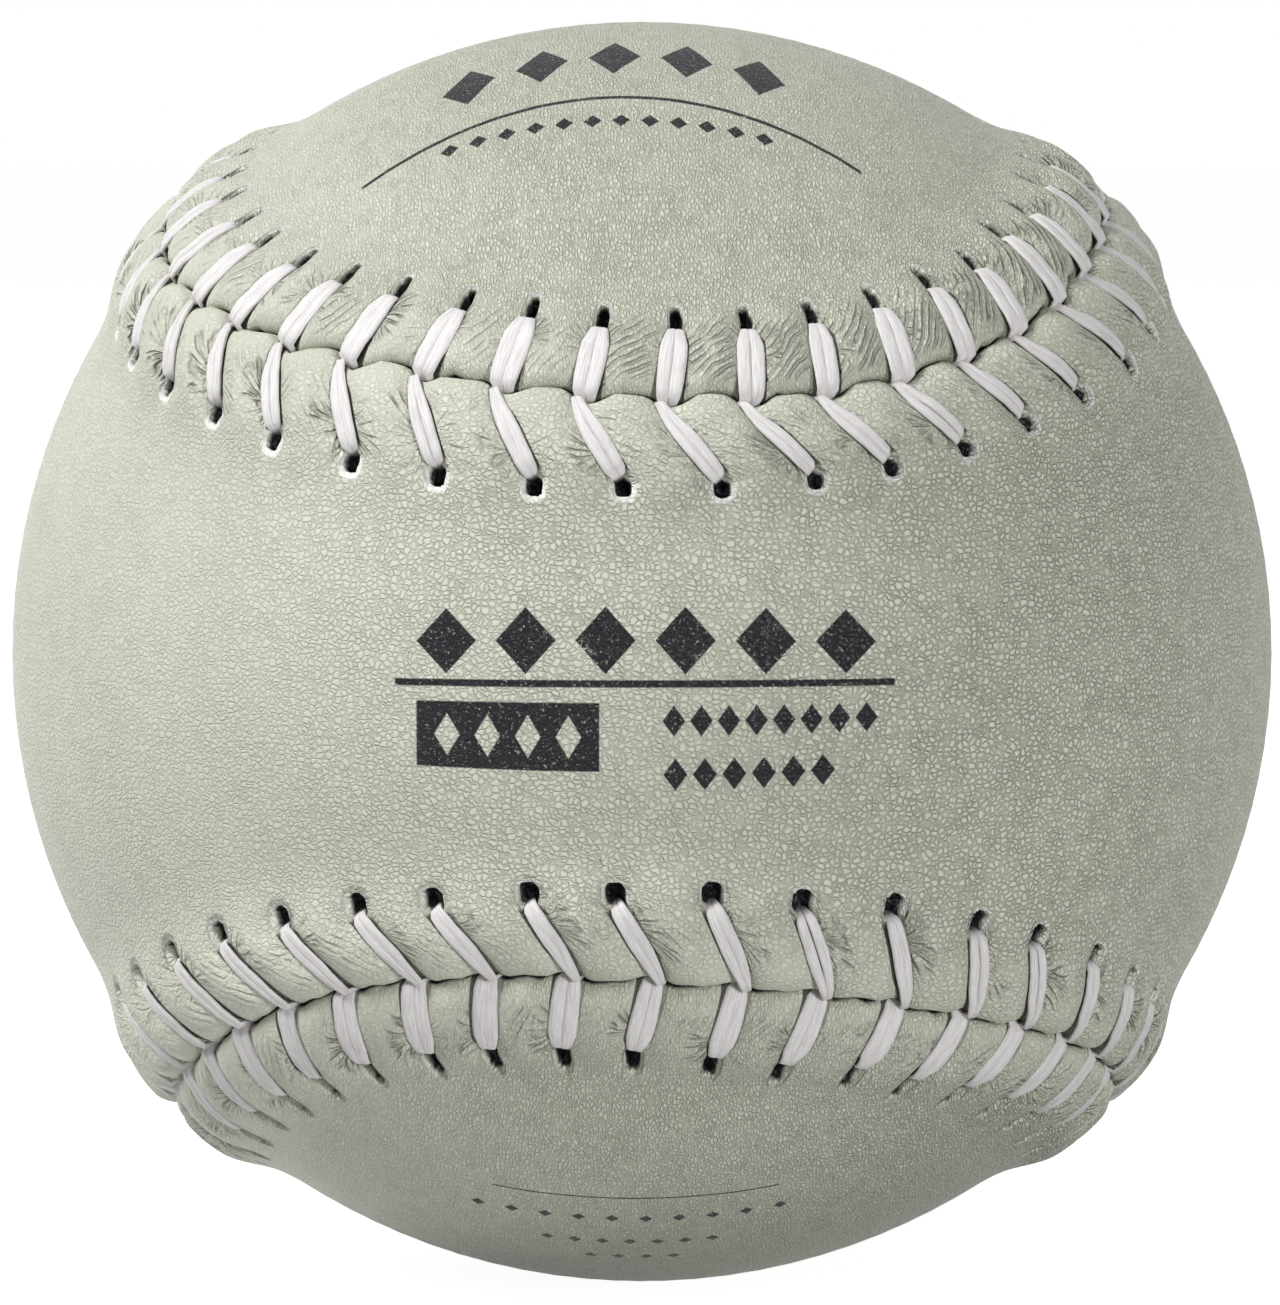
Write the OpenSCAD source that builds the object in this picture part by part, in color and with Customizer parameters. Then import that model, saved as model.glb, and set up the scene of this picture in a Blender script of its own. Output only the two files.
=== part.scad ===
// Stitched leather ball with a raised seam: a weighted rubber core, wound yarn,
// a rubber cement coat, two figure-of-eight leather covers and their sewing thread.
// The ball's centre is the origin. The waist of the front cover faces -Y.

/* [Ball] */
// Length round the smooth leather of the finished ball
ball_circumference = 279.4; // [254:0.1:318]
// Thickness of the cover leather
leather_t = 1.4; // [1:0.05:1.8]
// Cement line between the cover's underside and the coat
cover_clear = 0.3; // [0.25:0.01:0.5]

/* [Seam] */
// How far the seam stands up, over and above the thread that lies under it
ridge_spare = 0.75; // [0.65:0.05:1.2]
// Half width of the seam's flat crest
crest_w = 2.4; // [2:0.1:2.8]
// From a stitch hole's outer end to where the leather is smooth again
ridge_run = 3.4; // [2.5:0.1:4.5]
// How far the leather's edge is rounded down at the joint
lip_drop = 0.35; // [0.1:0.05:0.5]
// Gap between the two covers' edges, between stitches
seam_gap = 0.24; // [0.2:0.02:0.4]
// How far a thread presses into the leather
thread_dent = 0.2; // [0:0.05:0.3]
// How far the leather swells between two stitches
puff_h = 0.15; // [0:0.05:0.3]

/* [Stitches] */
// Stitches round the ball, a multiple of four
stitch_count = 88; // [80:4:96]
// From the joint to the middle of a stitch hole
stitch_reach = 6.2; // [5.8:0.1:7]
// How far a front hole lies further along the seam than its stitch's foot
front_slant = 3; // [1:0.1:3.5]
// The same for a back hole
back_slant = 1.3; // [1:0.1:3.5]
// How far the first stitch lies from the middle of the waist
stitch_phase = -2.7; // [-2.9:0.1:-2]
// Length of a stitch hole
hole_l = 2.4; // [2:0.1:2.8]
// Free room beside the thread in a stitch hole
hole_spare = 0.2; // [0.1:0.05:0.3]

/* [Thread] */
// Width of the doubled thread where it lies on the leather
thread_w = 1.7; // [1.2:0.1:2]
// Width of the thread where it is drawn through the leather
thread_neck_w = 1; // [0.8:0.05:1.2]
// Thickness of the thread
thread_t = 0.75; // [0.6:0.05:0.85]
// Gap between thread and leather
thread_clear = 0.1; // [0.05:0.01:0.12]
// Gap between the two threads where they pass each other in the joint
foot_gap = 0.6; // [0.4:0.05:0.8]

/* [Windings] */
// Thickness of the rubber cement coat
coat_t = 0.4; // [0.2:0.05:0.8]
// Thickness of the fine finishing yarn
finish_t = 1; // [0.6:0.1:2]
// Thickness of the third layer of yarn
third_t = 3.4; // [2:0.1:5]
// Thickness of the second layer of yarn
second_t = 4; // [2:0.1:6]
// Gap between two layers
layer_clear = 0.05; // [0.03:0.01:0.2]

/* [Core] */
// Diameter of the iron weight
weight_d = 24; // [18:0.5:27]
// Thickness of the two rubber half shells
shell_t = 4; // [2:0.1:5]
// Thickness of the rubber jacket moulded over the shells
jacket_t = 3; // [2:0.1:4]
// Thickness of the gasket between the half shells
gasket_t = 0.8; // [0.5:0.1:1.5]

/* [Hidden] */
leather_colour = "#BCBEAA";
thread_colour = "#F1F0EA";
cement_colour = "#D9C48E";
yarn_colours = ["#8C8B88", "#E4E0D4", "#A3A19C", "#EFEBDD"];
rubber_colours = ["#2B2B2C", "#9C2F28"];
iron_colour = "#6B6D70";
sphere_fn = 128;
// The seam is a closed curve on the sphere: sums of waves whose heights are these shares of its radius.
waist_share = 0.405;
fifth_share = 0.037;
sixth_share = 0.021;
// Where a lobe's middle lies, in degrees round the ball from the middle of the waist
lobe_angle = 102;
// How much of the way between two stitches a thread's tucked end fills
tail_share = 0.35;
seam_steps = 720;
inner_rows = 4;
columns = 3;
FRONT = -1;
BACK = 1;

ball_r = ball_circumference / (2 * PI);
ridge_h = thread_t + ridge_spare;
hole_in = stitch_reach - hole_l / 2;
hole_out = stitch_reach + hole_l / 2;
hole_w = thread_neck_w + 2 * hole_spare;
ridge_w = hole_out + ridge_run;
foot_v = thread_t / 2 + thread_clear;
foot_s = (thread_neck_w + foot_gap) / 2;
notch_d = foot_v + thread_t / 2 + thread_clear;
notch_w = 2 * foot_s + thread_neck_w + 2 * thread_clear;
needle_v = hole_in + thread_clear + norm([thread_neck_w, thread_t]) / 2;
floor_z = -leather_t - cover_clear;

coat_r = ball_r + floor_z;
finish_r = coat_r - coat_t - layer_clear;
third_r = finish_r - finish_t - layer_clear;
second_r = third_r - third_t - layer_clear;
first_r = second_r - second_t - layer_clear;
weight_r = weight_d / 2;
shell_in = weight_r + layer_clear;
shell_out = shell_in + shell_t;
jacket_out = shell_out + layer_clear + jacket_t;

function unit(a) = a / norm(a);
function mix(a, b, share) = a + (b - a) * share;
function clamp01(x) = min(1, max(0, x));
function wrap(i, n) = (i % n + n) % n;
function turned(list) = [for (i = [len(list) - 1 : -1 : 0]) list[i]];
// A point a share of the way along the great circle from direction a to direction b
function arc_between(a, b, share) =
    let (angle = acos(a * b))
    (a * sin(angle * (1 - share)) + b * sin(angle * share)) / sin(angle);

// Direction from the ball's centre to the joint, at t degrees round its closed curve
function joint(t) =
    let (
        thick = (1 + waist_share) / 2,
        thin = 1 - thick,
        tall = 2 * sqrt(thick * thin)
    )
    unit([
        thick * sin(t) + thin * sin(3 * t) + fifth_share * sin(5 * t),
        -tall * cos(2 * t) - sixth_share * cos(6 * t),
        thick * cos(t) - thin * cos(3 * t) + fifth_share * cos(5 * t)
    ]);
step_t = 360 / seam_steps;
// Length along the joint on a ball of radius one, against t
arc_table = [
    for (i = 0, s = 0; i <= seam_steps;
        s = s + norm(joint((i + 1) * step_t) - joint(i * step_t)), i = i + 1)
        [s, i * step_t]
];
seam_length = arc_table[seam_steps][0] * ball_r;
pitch = seam_length / stitch_count;
function joint_t(s) =
    let (turns = floor(s / seam_length))
    360 * turns + lookup((s - turns * seam_length) / ball_r, arc_table);
// At s along the joint: directions outwards, along the joint, and across it to the back cover
function joint_frame(s) =
    let (
        t = joint_t(s),
        out = joint(t),
        along = unit(joint(t + step_t) - joint(t - step_t))
    )
    [out, along, cross(out, along)];
// The direction to a place v across the joint
function place_dir(s, v) =
    let (f = joint_frame(s), angle = v / ball_r * 180 / PI)
    f[0] * cos(angle) + f[2] * sin(angle);
// A point s along the joint, v across it and z above the smooth leather
function place(s, v, z) = place_dir(s, v) * (ball_r + z);

// Height of the ridge above the smooth leather, v from the joint
function ridge(v) = ridge_h * (1 + cos(180 * clamp01((v - crest_w) / (ridge_w - crest_w)))) / 2;
// Height of the leather's top: it dips under a stitch and swells between two
function leather_top(v, between) =
    ridge(v) + (between ? puff_h : -thread_dent) * ridge(v) / ridge_h;
function slant(side) = side == FRONT ? front_slant : back_slant;
function stitch_s(i) = i * pitch + stitch_phase;

// How far along from its stitch's middle the thread lies, v from the joint
function lean(v, side) =
    v > notch_d ? mix(side * foot_s, slant(side), (v - notch_d) / (stitch_reach - notch_d)) : 0;

// Columns of a cover's grid, three to a stitch: either side of the thread, and midway to the next.
// They lean with the stitches, so a hole lies in line with its thread.
function column_s(j, v, side) =
    let (
        lean_angle = atan((slant(side) - side * foot_s) / (stitch_reach - notch_d)),
        half = mix(notch_w, hole_w / cos(lean_angle), v / stitch_reach) / 2
    )
    stitch_s(floor(j / columns)) + lean(v, side) + [-half, half, pitch / 2][j % columns];
function is_between(j) = j % columns == columns - 1;
function edge_v(j) = is_between(j) ? seam_gap / 2 : notch_d;
function band_point(j, v, z, side) = place(column_s(j, v, side), side * v, z);
function top_row(v, side) = [
    for (j = [0 : columns * stitch_count - 1])
        band_point(j, v, leather_top(v, is_between(j)), side)
];
function under_row(v, side) = [
    for (j = [0 : columns * stitch_count - 1])
        band_point(j, v, leather_top(v, is_between(j)) - leather_t, side)
];
function top_edge(side) = [
    for (j = [0 : columns * stitch_count - 1])
        band_point(j, edge_v(j), leather_top(0, is_between(j)) - lip_drop, side)
];
function under_edge(side) = [
    for (j = [0 : columns * stitch_count - 1])
        band_point(j, edge_v(j), leather_top(0, is_between(j)) - leather_t, side)
];

// The middle line of a cover runs from lobe to lobe. Column i of the smooth part ends on it, and
// so does the column that faces i across the cover.
function line_start(side) = side == FRONT ? stitch_count / 4 : 0;
function line_index(i, side) =
    let (away = wrap(i - line_start(side), stitch_count))
    min(away, stitch_count - away);
function middle_dir(i, side) =
    let (
        t = joint_t(i * pitch),
        angle = lobe_angle * (side == FRONT ? sin(t) : cos(t))
    )
    side == FRONT ? [sin(angle), -cos(angle), 0] : [0, cos(angle), sin(angle)];
function smooth_row(row, z, side) = [
    for (i = [0 : stitch_count - 1])
        arc_between(place_dir(i * pitch, side * ridge_w), middle_dir(i, side), row / inner_rows)
            * (ball_r + z)
];
function middle_row(z, side) = [
    for (m = [0 : stitch_count / 2])
        middle_dir(line_start(side) + m, side) * (ball_r + z)
];

// Two triangles for a quad of corners in a list of points, split along its shorter diagonal
function quad(points, a, b, c, d) =
    norm(points[a] - points[c]) < norm(points[b] - points[d])
        ? [[a, b, c], [a, c, d]]
        : [[a, b, d], [b, c, d]];

// One leather cover: a shell with a raised edge all round, notches for the stitches' feet
// and a row of stitch holes.
module cover(side) {
    band_n = columns * stitch_count;
    half_n = stitch_count / 2 + 1;
    top_bands = [top_edge(side), top_row(crest_w, side), top_row(hole_in, side), top_row(hole_out, side)];
    under_bands = [under_edge(side), under_row(hole_in, side), under_row(hole_out, side)];
    top_rows = [for (row = [0 : inner_rows - 1]) smooth_row(row, 0, side)];
    under_rows = [for (row = [0 : inner_rows - 1]) smooth_row(row, -leather_t, side)];
    points = [
        for (row = top_bands) each row,
        for (row = under_bands) each row,
        for (row = top_rows) each row,
        for (row = under_rows) each row,
        each middle_row(0, side),
        each middle_row(-leather_t, side)
    ];
    under_at = len(top_bands) * band_n;
    smooth_at = under_at + len(under_bands) * band_n;
    under_smooth_at = smooth_at + inner_rows * stitch_count;
    line_at = under_smooth_at + inner_rows * stitch_count;
    under_line_at = line_at + half_n;
    hole_row = len(top_bands) - 2;
    under_hole_row = len(under_bands) - 2;

    function top(r, j) = r * band_n + wrap(j, band_n);
    function under(r, j) = under_at + r * band_n + wrap(j, band_n);
    function smooth(r, i) = r < inner_rows
        ? smooth_at + r * stitch_count + wrap(i, stitch_count)
        : line_at + line_index(i, side);
    function under_smooth(r, i) = r < inner_rows
        ? under_smooth_at + r * stitch_count + wrap(i, stitch_count)
        : under_line_at + line_index(i, side);
    function is_hole(j) = j % columns == 0;

    top_faces = [
        for (r = [0 : len(top_bands) - 2], j = [0 : band_n - 1])
            if (!(r == hole_row && is_hole(j)))
                each quad(points, top(r, j), top(r, j + 1), top(r + 1, j + 1), top(r + 1, j))
    ];
    under_faces = [
        for (r = [0 : len(under_bands) - 2], j = [0 : band_n - 1])
            if (!(r == under_hole_row && is_hole(j)))
                each quad(points, under(r, j), under(r + 1, j), under(r + 1, j + 1), under(r, j + 1))
    ];
    edge_faces = [
        for (j = [0 : band_n - 1])
            each quad(points, top(0, j + 1), top(0, j), under(0, j), under(0, j + 1))
    ];
    hole_faces = [
        for (i = [0 : stitch_count - 1])
            let (
                j = i * columns,
                rim = [top(hole_row, j), top(hole_row, j + 1), top(hole_row + 1, j + 1), top(hole_row + 1, j)],
                foot = [
                    under(under_hole_row, j), under(under_hole_row, j + 1),
                    under(under_hole_row + 1, j + 1), under(under_hole_row + 1, j)
                ]
            )
            for (c = [0 : 3])
                each quad(points, rim[c], rim[(c + 1) % 4], foot[(c + 1) % 4], foot[c])
    ];
    // From three columns a stitch to one, where the ridge runs out
    fan_faces = [
        for (i = [0 : stitch_count - 1])
            let (
                a = [for (k = [0 : columns]) top(len(top_bands) - 1, i * columns + k)],
                b = [for (k = [0 : columns]) under(len(under_bands) - 1, i * columns + k)],
                o = [smooth(0, i), smooth(0, i + 1)],
                u = [under_smooth(0, i), under_smooth(0, i + 1)]
            )
            each [
                [a[0], a[1], o[0]], [a[1], a[2], o[0]], [a[2], o[1], o[0]], [a[2], a[3], o[1]],
                [b[0], u[0], b[1]], [b[1], u[0], b[2]], [b[2], u[0], u[1]], [b[2], u[1], b[3]]
            ]
    ];
    smooth_faces = [
        for (r = [0 : inner_rows - 1], i = [0 : stitch_count - 1]) each [
            each quad(
                points, smooth(r, i), smooth(r, i + 1),
                smooth(r + 1, i + 1), smooth(r + 1, i)
            ),
            each quad(
                points, under_smooth(r, i), under_smooth(r + 1, i),
                under_smooth(r + 1, i + 1), under_smooth(r, i + 1)
            )
        ]
    ];
    faces = [
        each top_faces, each under_faces, each edge_faces,
        each hole_faces, each fan_faces, each smooth_faces
    ];
    polyhedron(points, side == FRONT ? faces : [for (f = faces) turned(f)]);
}

// The thread's way at stitch i, on one side: up through the hole, over the leather to the joint,
// and down between the covers, from where it runs under the other cover to the next hole.
// Each place is [s, v, z, width].
function stitch_path(i, side) =
    let (
        lift = thread_clear + thread_t / 2,
        hole_s = stitch_s(i) + lean(needle_v, side),
        foot = stitch_s(i) + side * foot_s,
        under_z = leather_top(needle_v, false) - leather_t - lift,
        arm_v = mix(notch_d, needle_v, 1 / 2),
        arm_s = mix(foot, hole_s, 1 / 2)
    )
    [
        [hole_s, side * needle_v, under_z, thread_neck_w],
        [hole_s, side * needle_v, leather_top(hole_in, false) + lift, thread_neck_w],
        [arm_s, side * arm_v, leather_top(arm_v, false) + lift, thread_w],
        [foot, side * (notch_d + thread_clear), leather_top(0, false) + lift, thread_neck_w],
        [foot, side * foot_v, leather_top(0, false), thread_neck_w],
        [foot, -side * foot_v, leather_top(0, false) - leather_t - lift, thread_neck_w]
    ];

// The width direction of the thread between two points: level, and leading along the joint
function level_width(a, b, f) =
    let (
        dir = b - a,
        level = dir - f[0] * (dir * f[0]),
        across = cross(f[0], level)
    )
    norm(level) < thread_t / 2 ? [0, 0, 0] : unit(across) * sign(across * f[1]);

// One needle's thread, which shows on the front at every second stitch and on the back between
module thread(first_side) {
    function path_at(i) = stitch_path(i, i % 2 == 0 ? first_side : -first_side);
    stitches = [for (i = [0 : stitch_count - 1]) each path_at(i)];
    end_place = stitches[len(stitches) - 1];
    // Both ends are tucked under a cover, between the last stitch and the first
    way = [
        mix(stitches[0], path_at(-1)[len(path_at(-1)) - 1], tail_share),
        each stitches,
        mix(end_place, path_at(stitch_count)[0], tail_share)
    ];
    last = len(way) - 1;
    line = [for (w = way) place(w[0], w[1], w[2])];
    rings = [
        for (m = [0 : last])
            let (
                before = line[max(0, m - 1)],
                after = line[min(last, m + 1)],
                f = joint_frame(way[m][0]),
                dir_in = m == 0 ? [0, 0, 0] : unit(line[m] - before),
                dir_out = m == last ? [0, 0, 0] : unit(after - line[m]),
                dir = unit(dir_in + dir_out),
                width_in = m == 0 ? [0, 0, 0] : level_width(before, line[m], f),
                width_out = m == last ? [0, 0, 0] : level_width(line[m], after, f),
                level = width_in + width_out,
                wide = unit(level - dir * (level * dir)) * way[m][3] / 2,
                thick = cross(unit(wide), dir) * thread_t / 2
            )
            [line[m] - wide - thick, line[m] + wide - thick, line[m] + wide + thick, line[m] - wide + thick]
    ];
    sides = 4;
    points = [for (r = rings) each r];
    side_faces = [
        for (m = [0 : last - 1], c = [0 : sides - 1])
            each quad(
                points, m * sides + c, m * sides + (c + 1) % sides,
                (m + 1) * sides + (c + 1) % sides, (m + 1) * sides + c
            )
    ];
    end_faces = [[for (c = [0 : sides - 1]) sides - 1 - c], [for (c = [0 : sides - 1]) last * sides + c]];
    polyhedron(points, [each side_faces, each end_faces]);
}

// A closed layer of the ball between two radii
module layer(out_r, in_r) {
    difference() {
        sphere(r = out_r, $fn = sphere_fn);
        sphere(r = in_r, $fn = sphere_fn);
    }
}

// Half of the rubber shell round the weight, which stops short of the middle for the gasket
module half_shell() {
    rotate_extrude($fn = sphere_fn)
        intersection() {
            difference() {
                circle(r = shell_out, $fn = sphere_fn);
                circle(r = shell_in, $fn = sphere_fn);
            }
            translate([0, gasket_t / 2 + layer_clear]) square([shell_out, shell_out]);
        }
}

module weight_ball() {
    color(iron_colour) sphere(r = weight_r, $fn = sphere_fn);
}
module core_shell_upper() {
    color(rubber_colours[0]) half_shell();
}
module core_shell_lower() {
    color(rubber_colours[0]) mirror([0, 0, 1]) half_shell();
}
module core_gasket() {
    color(rubber_colours[1])
        difference() {
            cylinder(r = shell_out, h = gasket_t, center = true, $fn = sphere_fn);
            cylinder(r = shell_in, h = 2 * gasket_t, center = true, $fn = sphere_fn);
        }
}
module core_jacket() {
    color(rubber_colours[1]) layer(jacket_out, shell_out + layer_clear);
}
module winding_first() {
    color(yarn_colours[0]) layer(first_r, jacket_out + layer_clear);
}
module winding_second() {
    color(yarn_colours[1]) layer(second_r, first_r + layer_clear);
}
module winding_third() {
    color(yarn_colours[2]) layer(third_r, second_r + layer_clear);
}
module winding_finish() {
    color(yarn_colours[3]) layer(finish_r, third_r + layer_clear);
}
module cement_coat() {
    color(cement_colour) layer(coat_r, finish_r + layer_clear);
}
module cover_front() {
    color(leather_colour) cover(FRONT);
}
module cover_back() {
    color(leather_colour) cover(BACK);
}
module thread_one() {
    color(thread_colour) thread(FRONT);
}
module thread_two() {
    color(thread_colour) thread(BACK);
}

weight_ball();
core_shell_upper();
core_shell_lower();
core_gasket();
core_jacket();
winding_first();
winding_second();
winding_third();
winding_finish();
cement_coat();
cover_front();
cover_back();
thread_one();
thread_two();
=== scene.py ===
"""A weighted, stitched leather softball on a plain studio floor."""

import logging
import math
from dataclasses import dataclass, field
from enum import Enum
from typing import Any

import bmesh
import bpy
import numpy as np
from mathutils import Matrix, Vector

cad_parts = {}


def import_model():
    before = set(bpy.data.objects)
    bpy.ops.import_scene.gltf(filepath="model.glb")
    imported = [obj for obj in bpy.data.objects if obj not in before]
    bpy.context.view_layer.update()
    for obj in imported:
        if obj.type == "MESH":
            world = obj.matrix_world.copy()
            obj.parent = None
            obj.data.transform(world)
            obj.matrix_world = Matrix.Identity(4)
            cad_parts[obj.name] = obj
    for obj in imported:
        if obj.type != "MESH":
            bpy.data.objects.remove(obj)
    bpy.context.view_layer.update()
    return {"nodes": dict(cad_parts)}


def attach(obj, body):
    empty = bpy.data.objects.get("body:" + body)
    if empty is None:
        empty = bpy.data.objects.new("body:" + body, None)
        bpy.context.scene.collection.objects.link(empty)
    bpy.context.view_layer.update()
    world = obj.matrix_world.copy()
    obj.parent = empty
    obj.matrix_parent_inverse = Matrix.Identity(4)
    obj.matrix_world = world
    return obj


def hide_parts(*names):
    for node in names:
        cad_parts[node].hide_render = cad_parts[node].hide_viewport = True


LOG = logging.getLogger("softball")
MM = 0.001
WHITE = (1.0, 1.0, 1.0, 1.0)
Array = np.ndarray
Socket = Any
# A range, from low to high, and where they aren't 0 and 1 also the values at its two ends.
Ramp = tuple[float, ...]
# A noise's scale, detail and roughness.
Noise = tuple[float, ...]


class Side(Enum):
    """Which of the two covers, by the sign of its distance across the joint."""

    FRONT = -1
    BACK = 1

    @property
    def kind(self) -> int:
        """Its place in the pairs of sizes below: 0 for the front cover and 1 for the back one."""
        return (self.value + 1) // 2


def smooth(low: float, high: float, x: Array) -> Array:
    """Rises smoothly from 0 at low to 1 at high."""
    t = np.clip((x - low) / (high - low), 0.0, 1.0)
    return t * t * (3.0 - 2.0 * t)


def bell(x: Array, width: float) -> Array:
    """A bell curve of height 1, which falls to 0.37 at width."""
    return np.exp(-((x / width) ** 2))


def unit(a: Array) -> Array:
    """Scales the last axis of an array to length 1."""
    return a / np.linalg.norm(a, axis=-1, keepdims=True)


@dataclass(frozen=True)
class BallSizes:
    """Sizes of the ball's outside, in millimetres."""

    circumference: float = 279.4
    leather: float = 1.4
    ridge_height: float = 1.32
    crest: float = 2.6
    ridge_end: float = 10.8
    lobe_angle: float = 102.0
    stitches: int = 88
    stitch_start: float = -3.65
    stitch_drift: float = 1.45
    stitch_sway: float = 0.3
    weave: float = 0.58
    weaves: int = 8

    @property
    def radius(self) -> float:
        """Radius of the smooth leather."""
        return self.circumference / (2.0 * math.pi)


class SeamCurve:
    """The closed joint between the two covers, measured along and across it."""

    WAIST_SHARE = 0.405
    FIFTH_SHARE = 0.037
    SIXTH_SHARE = 0.021
    STEPS = 14400
    ANGLE_STEP = 0.0005
    WEAVE_FADE = {Side.FRONT: (1.0, 7.5), Side.BACK: (7.0, 12.3)}

    def __init__(self, sizes: BallSizes) -> None:
        """Builds the table of length along the joint.

        Args:
            sizes: The ball's sizes.
        """
        self.sizes = sizes
        self.angles = np.linspace(0.0, 2.0 * np.pi, self.STEPS + 1)
        points = self.direction(self.angles) * sizes.radius
        steps = np.linalg.norm(np.diff(points, axis=0), axis=1)
        self.lengths = np.concatenate([[0.0], np.cumsum(steps)])
        self.length = float(self.lengths[-1])
        self.pitch = self.length / sizes.stitches

    def direction(self, t: Array) -> Array:
        """Direction from the ball's centre to the joint, at angle t of its curve.

        Args:
            t: Angles of the curve.

        Returns:
            Unit directions.
        """
        thick = (1.0 + self.WAIST_SHARE) / 2.0
        thin = 1.0 - thick
        tall = 2.0 * math.sqrt(thick * thin)
        x = thick * np.sin(t) + thin * np.sin(3 * t) + self.FIFTH_SHARE * np.sin(5 * t)
        y = -tall * np.cos(2 * t) - self.SIXTH_SHARE * np.cos(6 * t)
        z = thick * np.cos(t) - thin * np.cos(3 * t) + self.FIFTH_SHARE * np.cos(5 * t)
        return unit(np.stack([x, y, z], axis=-1))

    def angle_at(self, s: Array) -> Array:
        """The curve's angle at s millimetres along the joint."""
        turns = np.floor(s / self.length)
        return 2.0 * np.pi * turns + np.interp(s - turns * self.length, self.lengths, self.angles)

    def directions(self, s: Array, v: Array) -> Array:
        """Unit directions to places s along the joint and v across it, towards the back cover.

        Args:
            s: Millimetres along the joint.
            v: Millimetres across it, positive on the back cover.

        Returns:
            The directions.
        """
        t = self.angle_at(s)
        step = self.ANGLE_STEP
        turn = 2.0 * np.pi * self.sizes.weaves / self.length
        front = smooth(*self.WEAVE_FADE[Side.FRONT], -v)
        fade = np.where(v < 0.0, front, smooth(*self.WEAVE_FADE[Side.BACK], v))
        v = v - self.sizes.weave * np.sin(s * turn) * (1.0 - fade)
        out = self.direction(t)
        along = unit(self.direction(t + step) - self.direction(t - step))
        across = np.cross(out, along)
        angle = (v / self.sizes.radius)[..., None]
        return out * np.cos(angle) + across * np.sin(angle)

    def middle(self, s: Array, side: Side) -> Array:
        """Where the column at s meets its cover's middle line.

        Args:
            s: Millimetres along the joint.
            side: Which cover.

        Returns:
            Unit directions.
        """
        t = self.angle_at(s)
        lobe = math.radians(self.sizes.lobe_angle)
        if side is Side.FRONT:
            a = lobe * np.sin(t)
            return np.stack([np.sin(a), -np.cos(a), np.zeros_like(a)], axis=-1)
        a = lobe * np.cos(t)
        return np.stack([np.zeros_like(a), np.cos(a), np.sin(a)], axis=-1)


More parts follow.
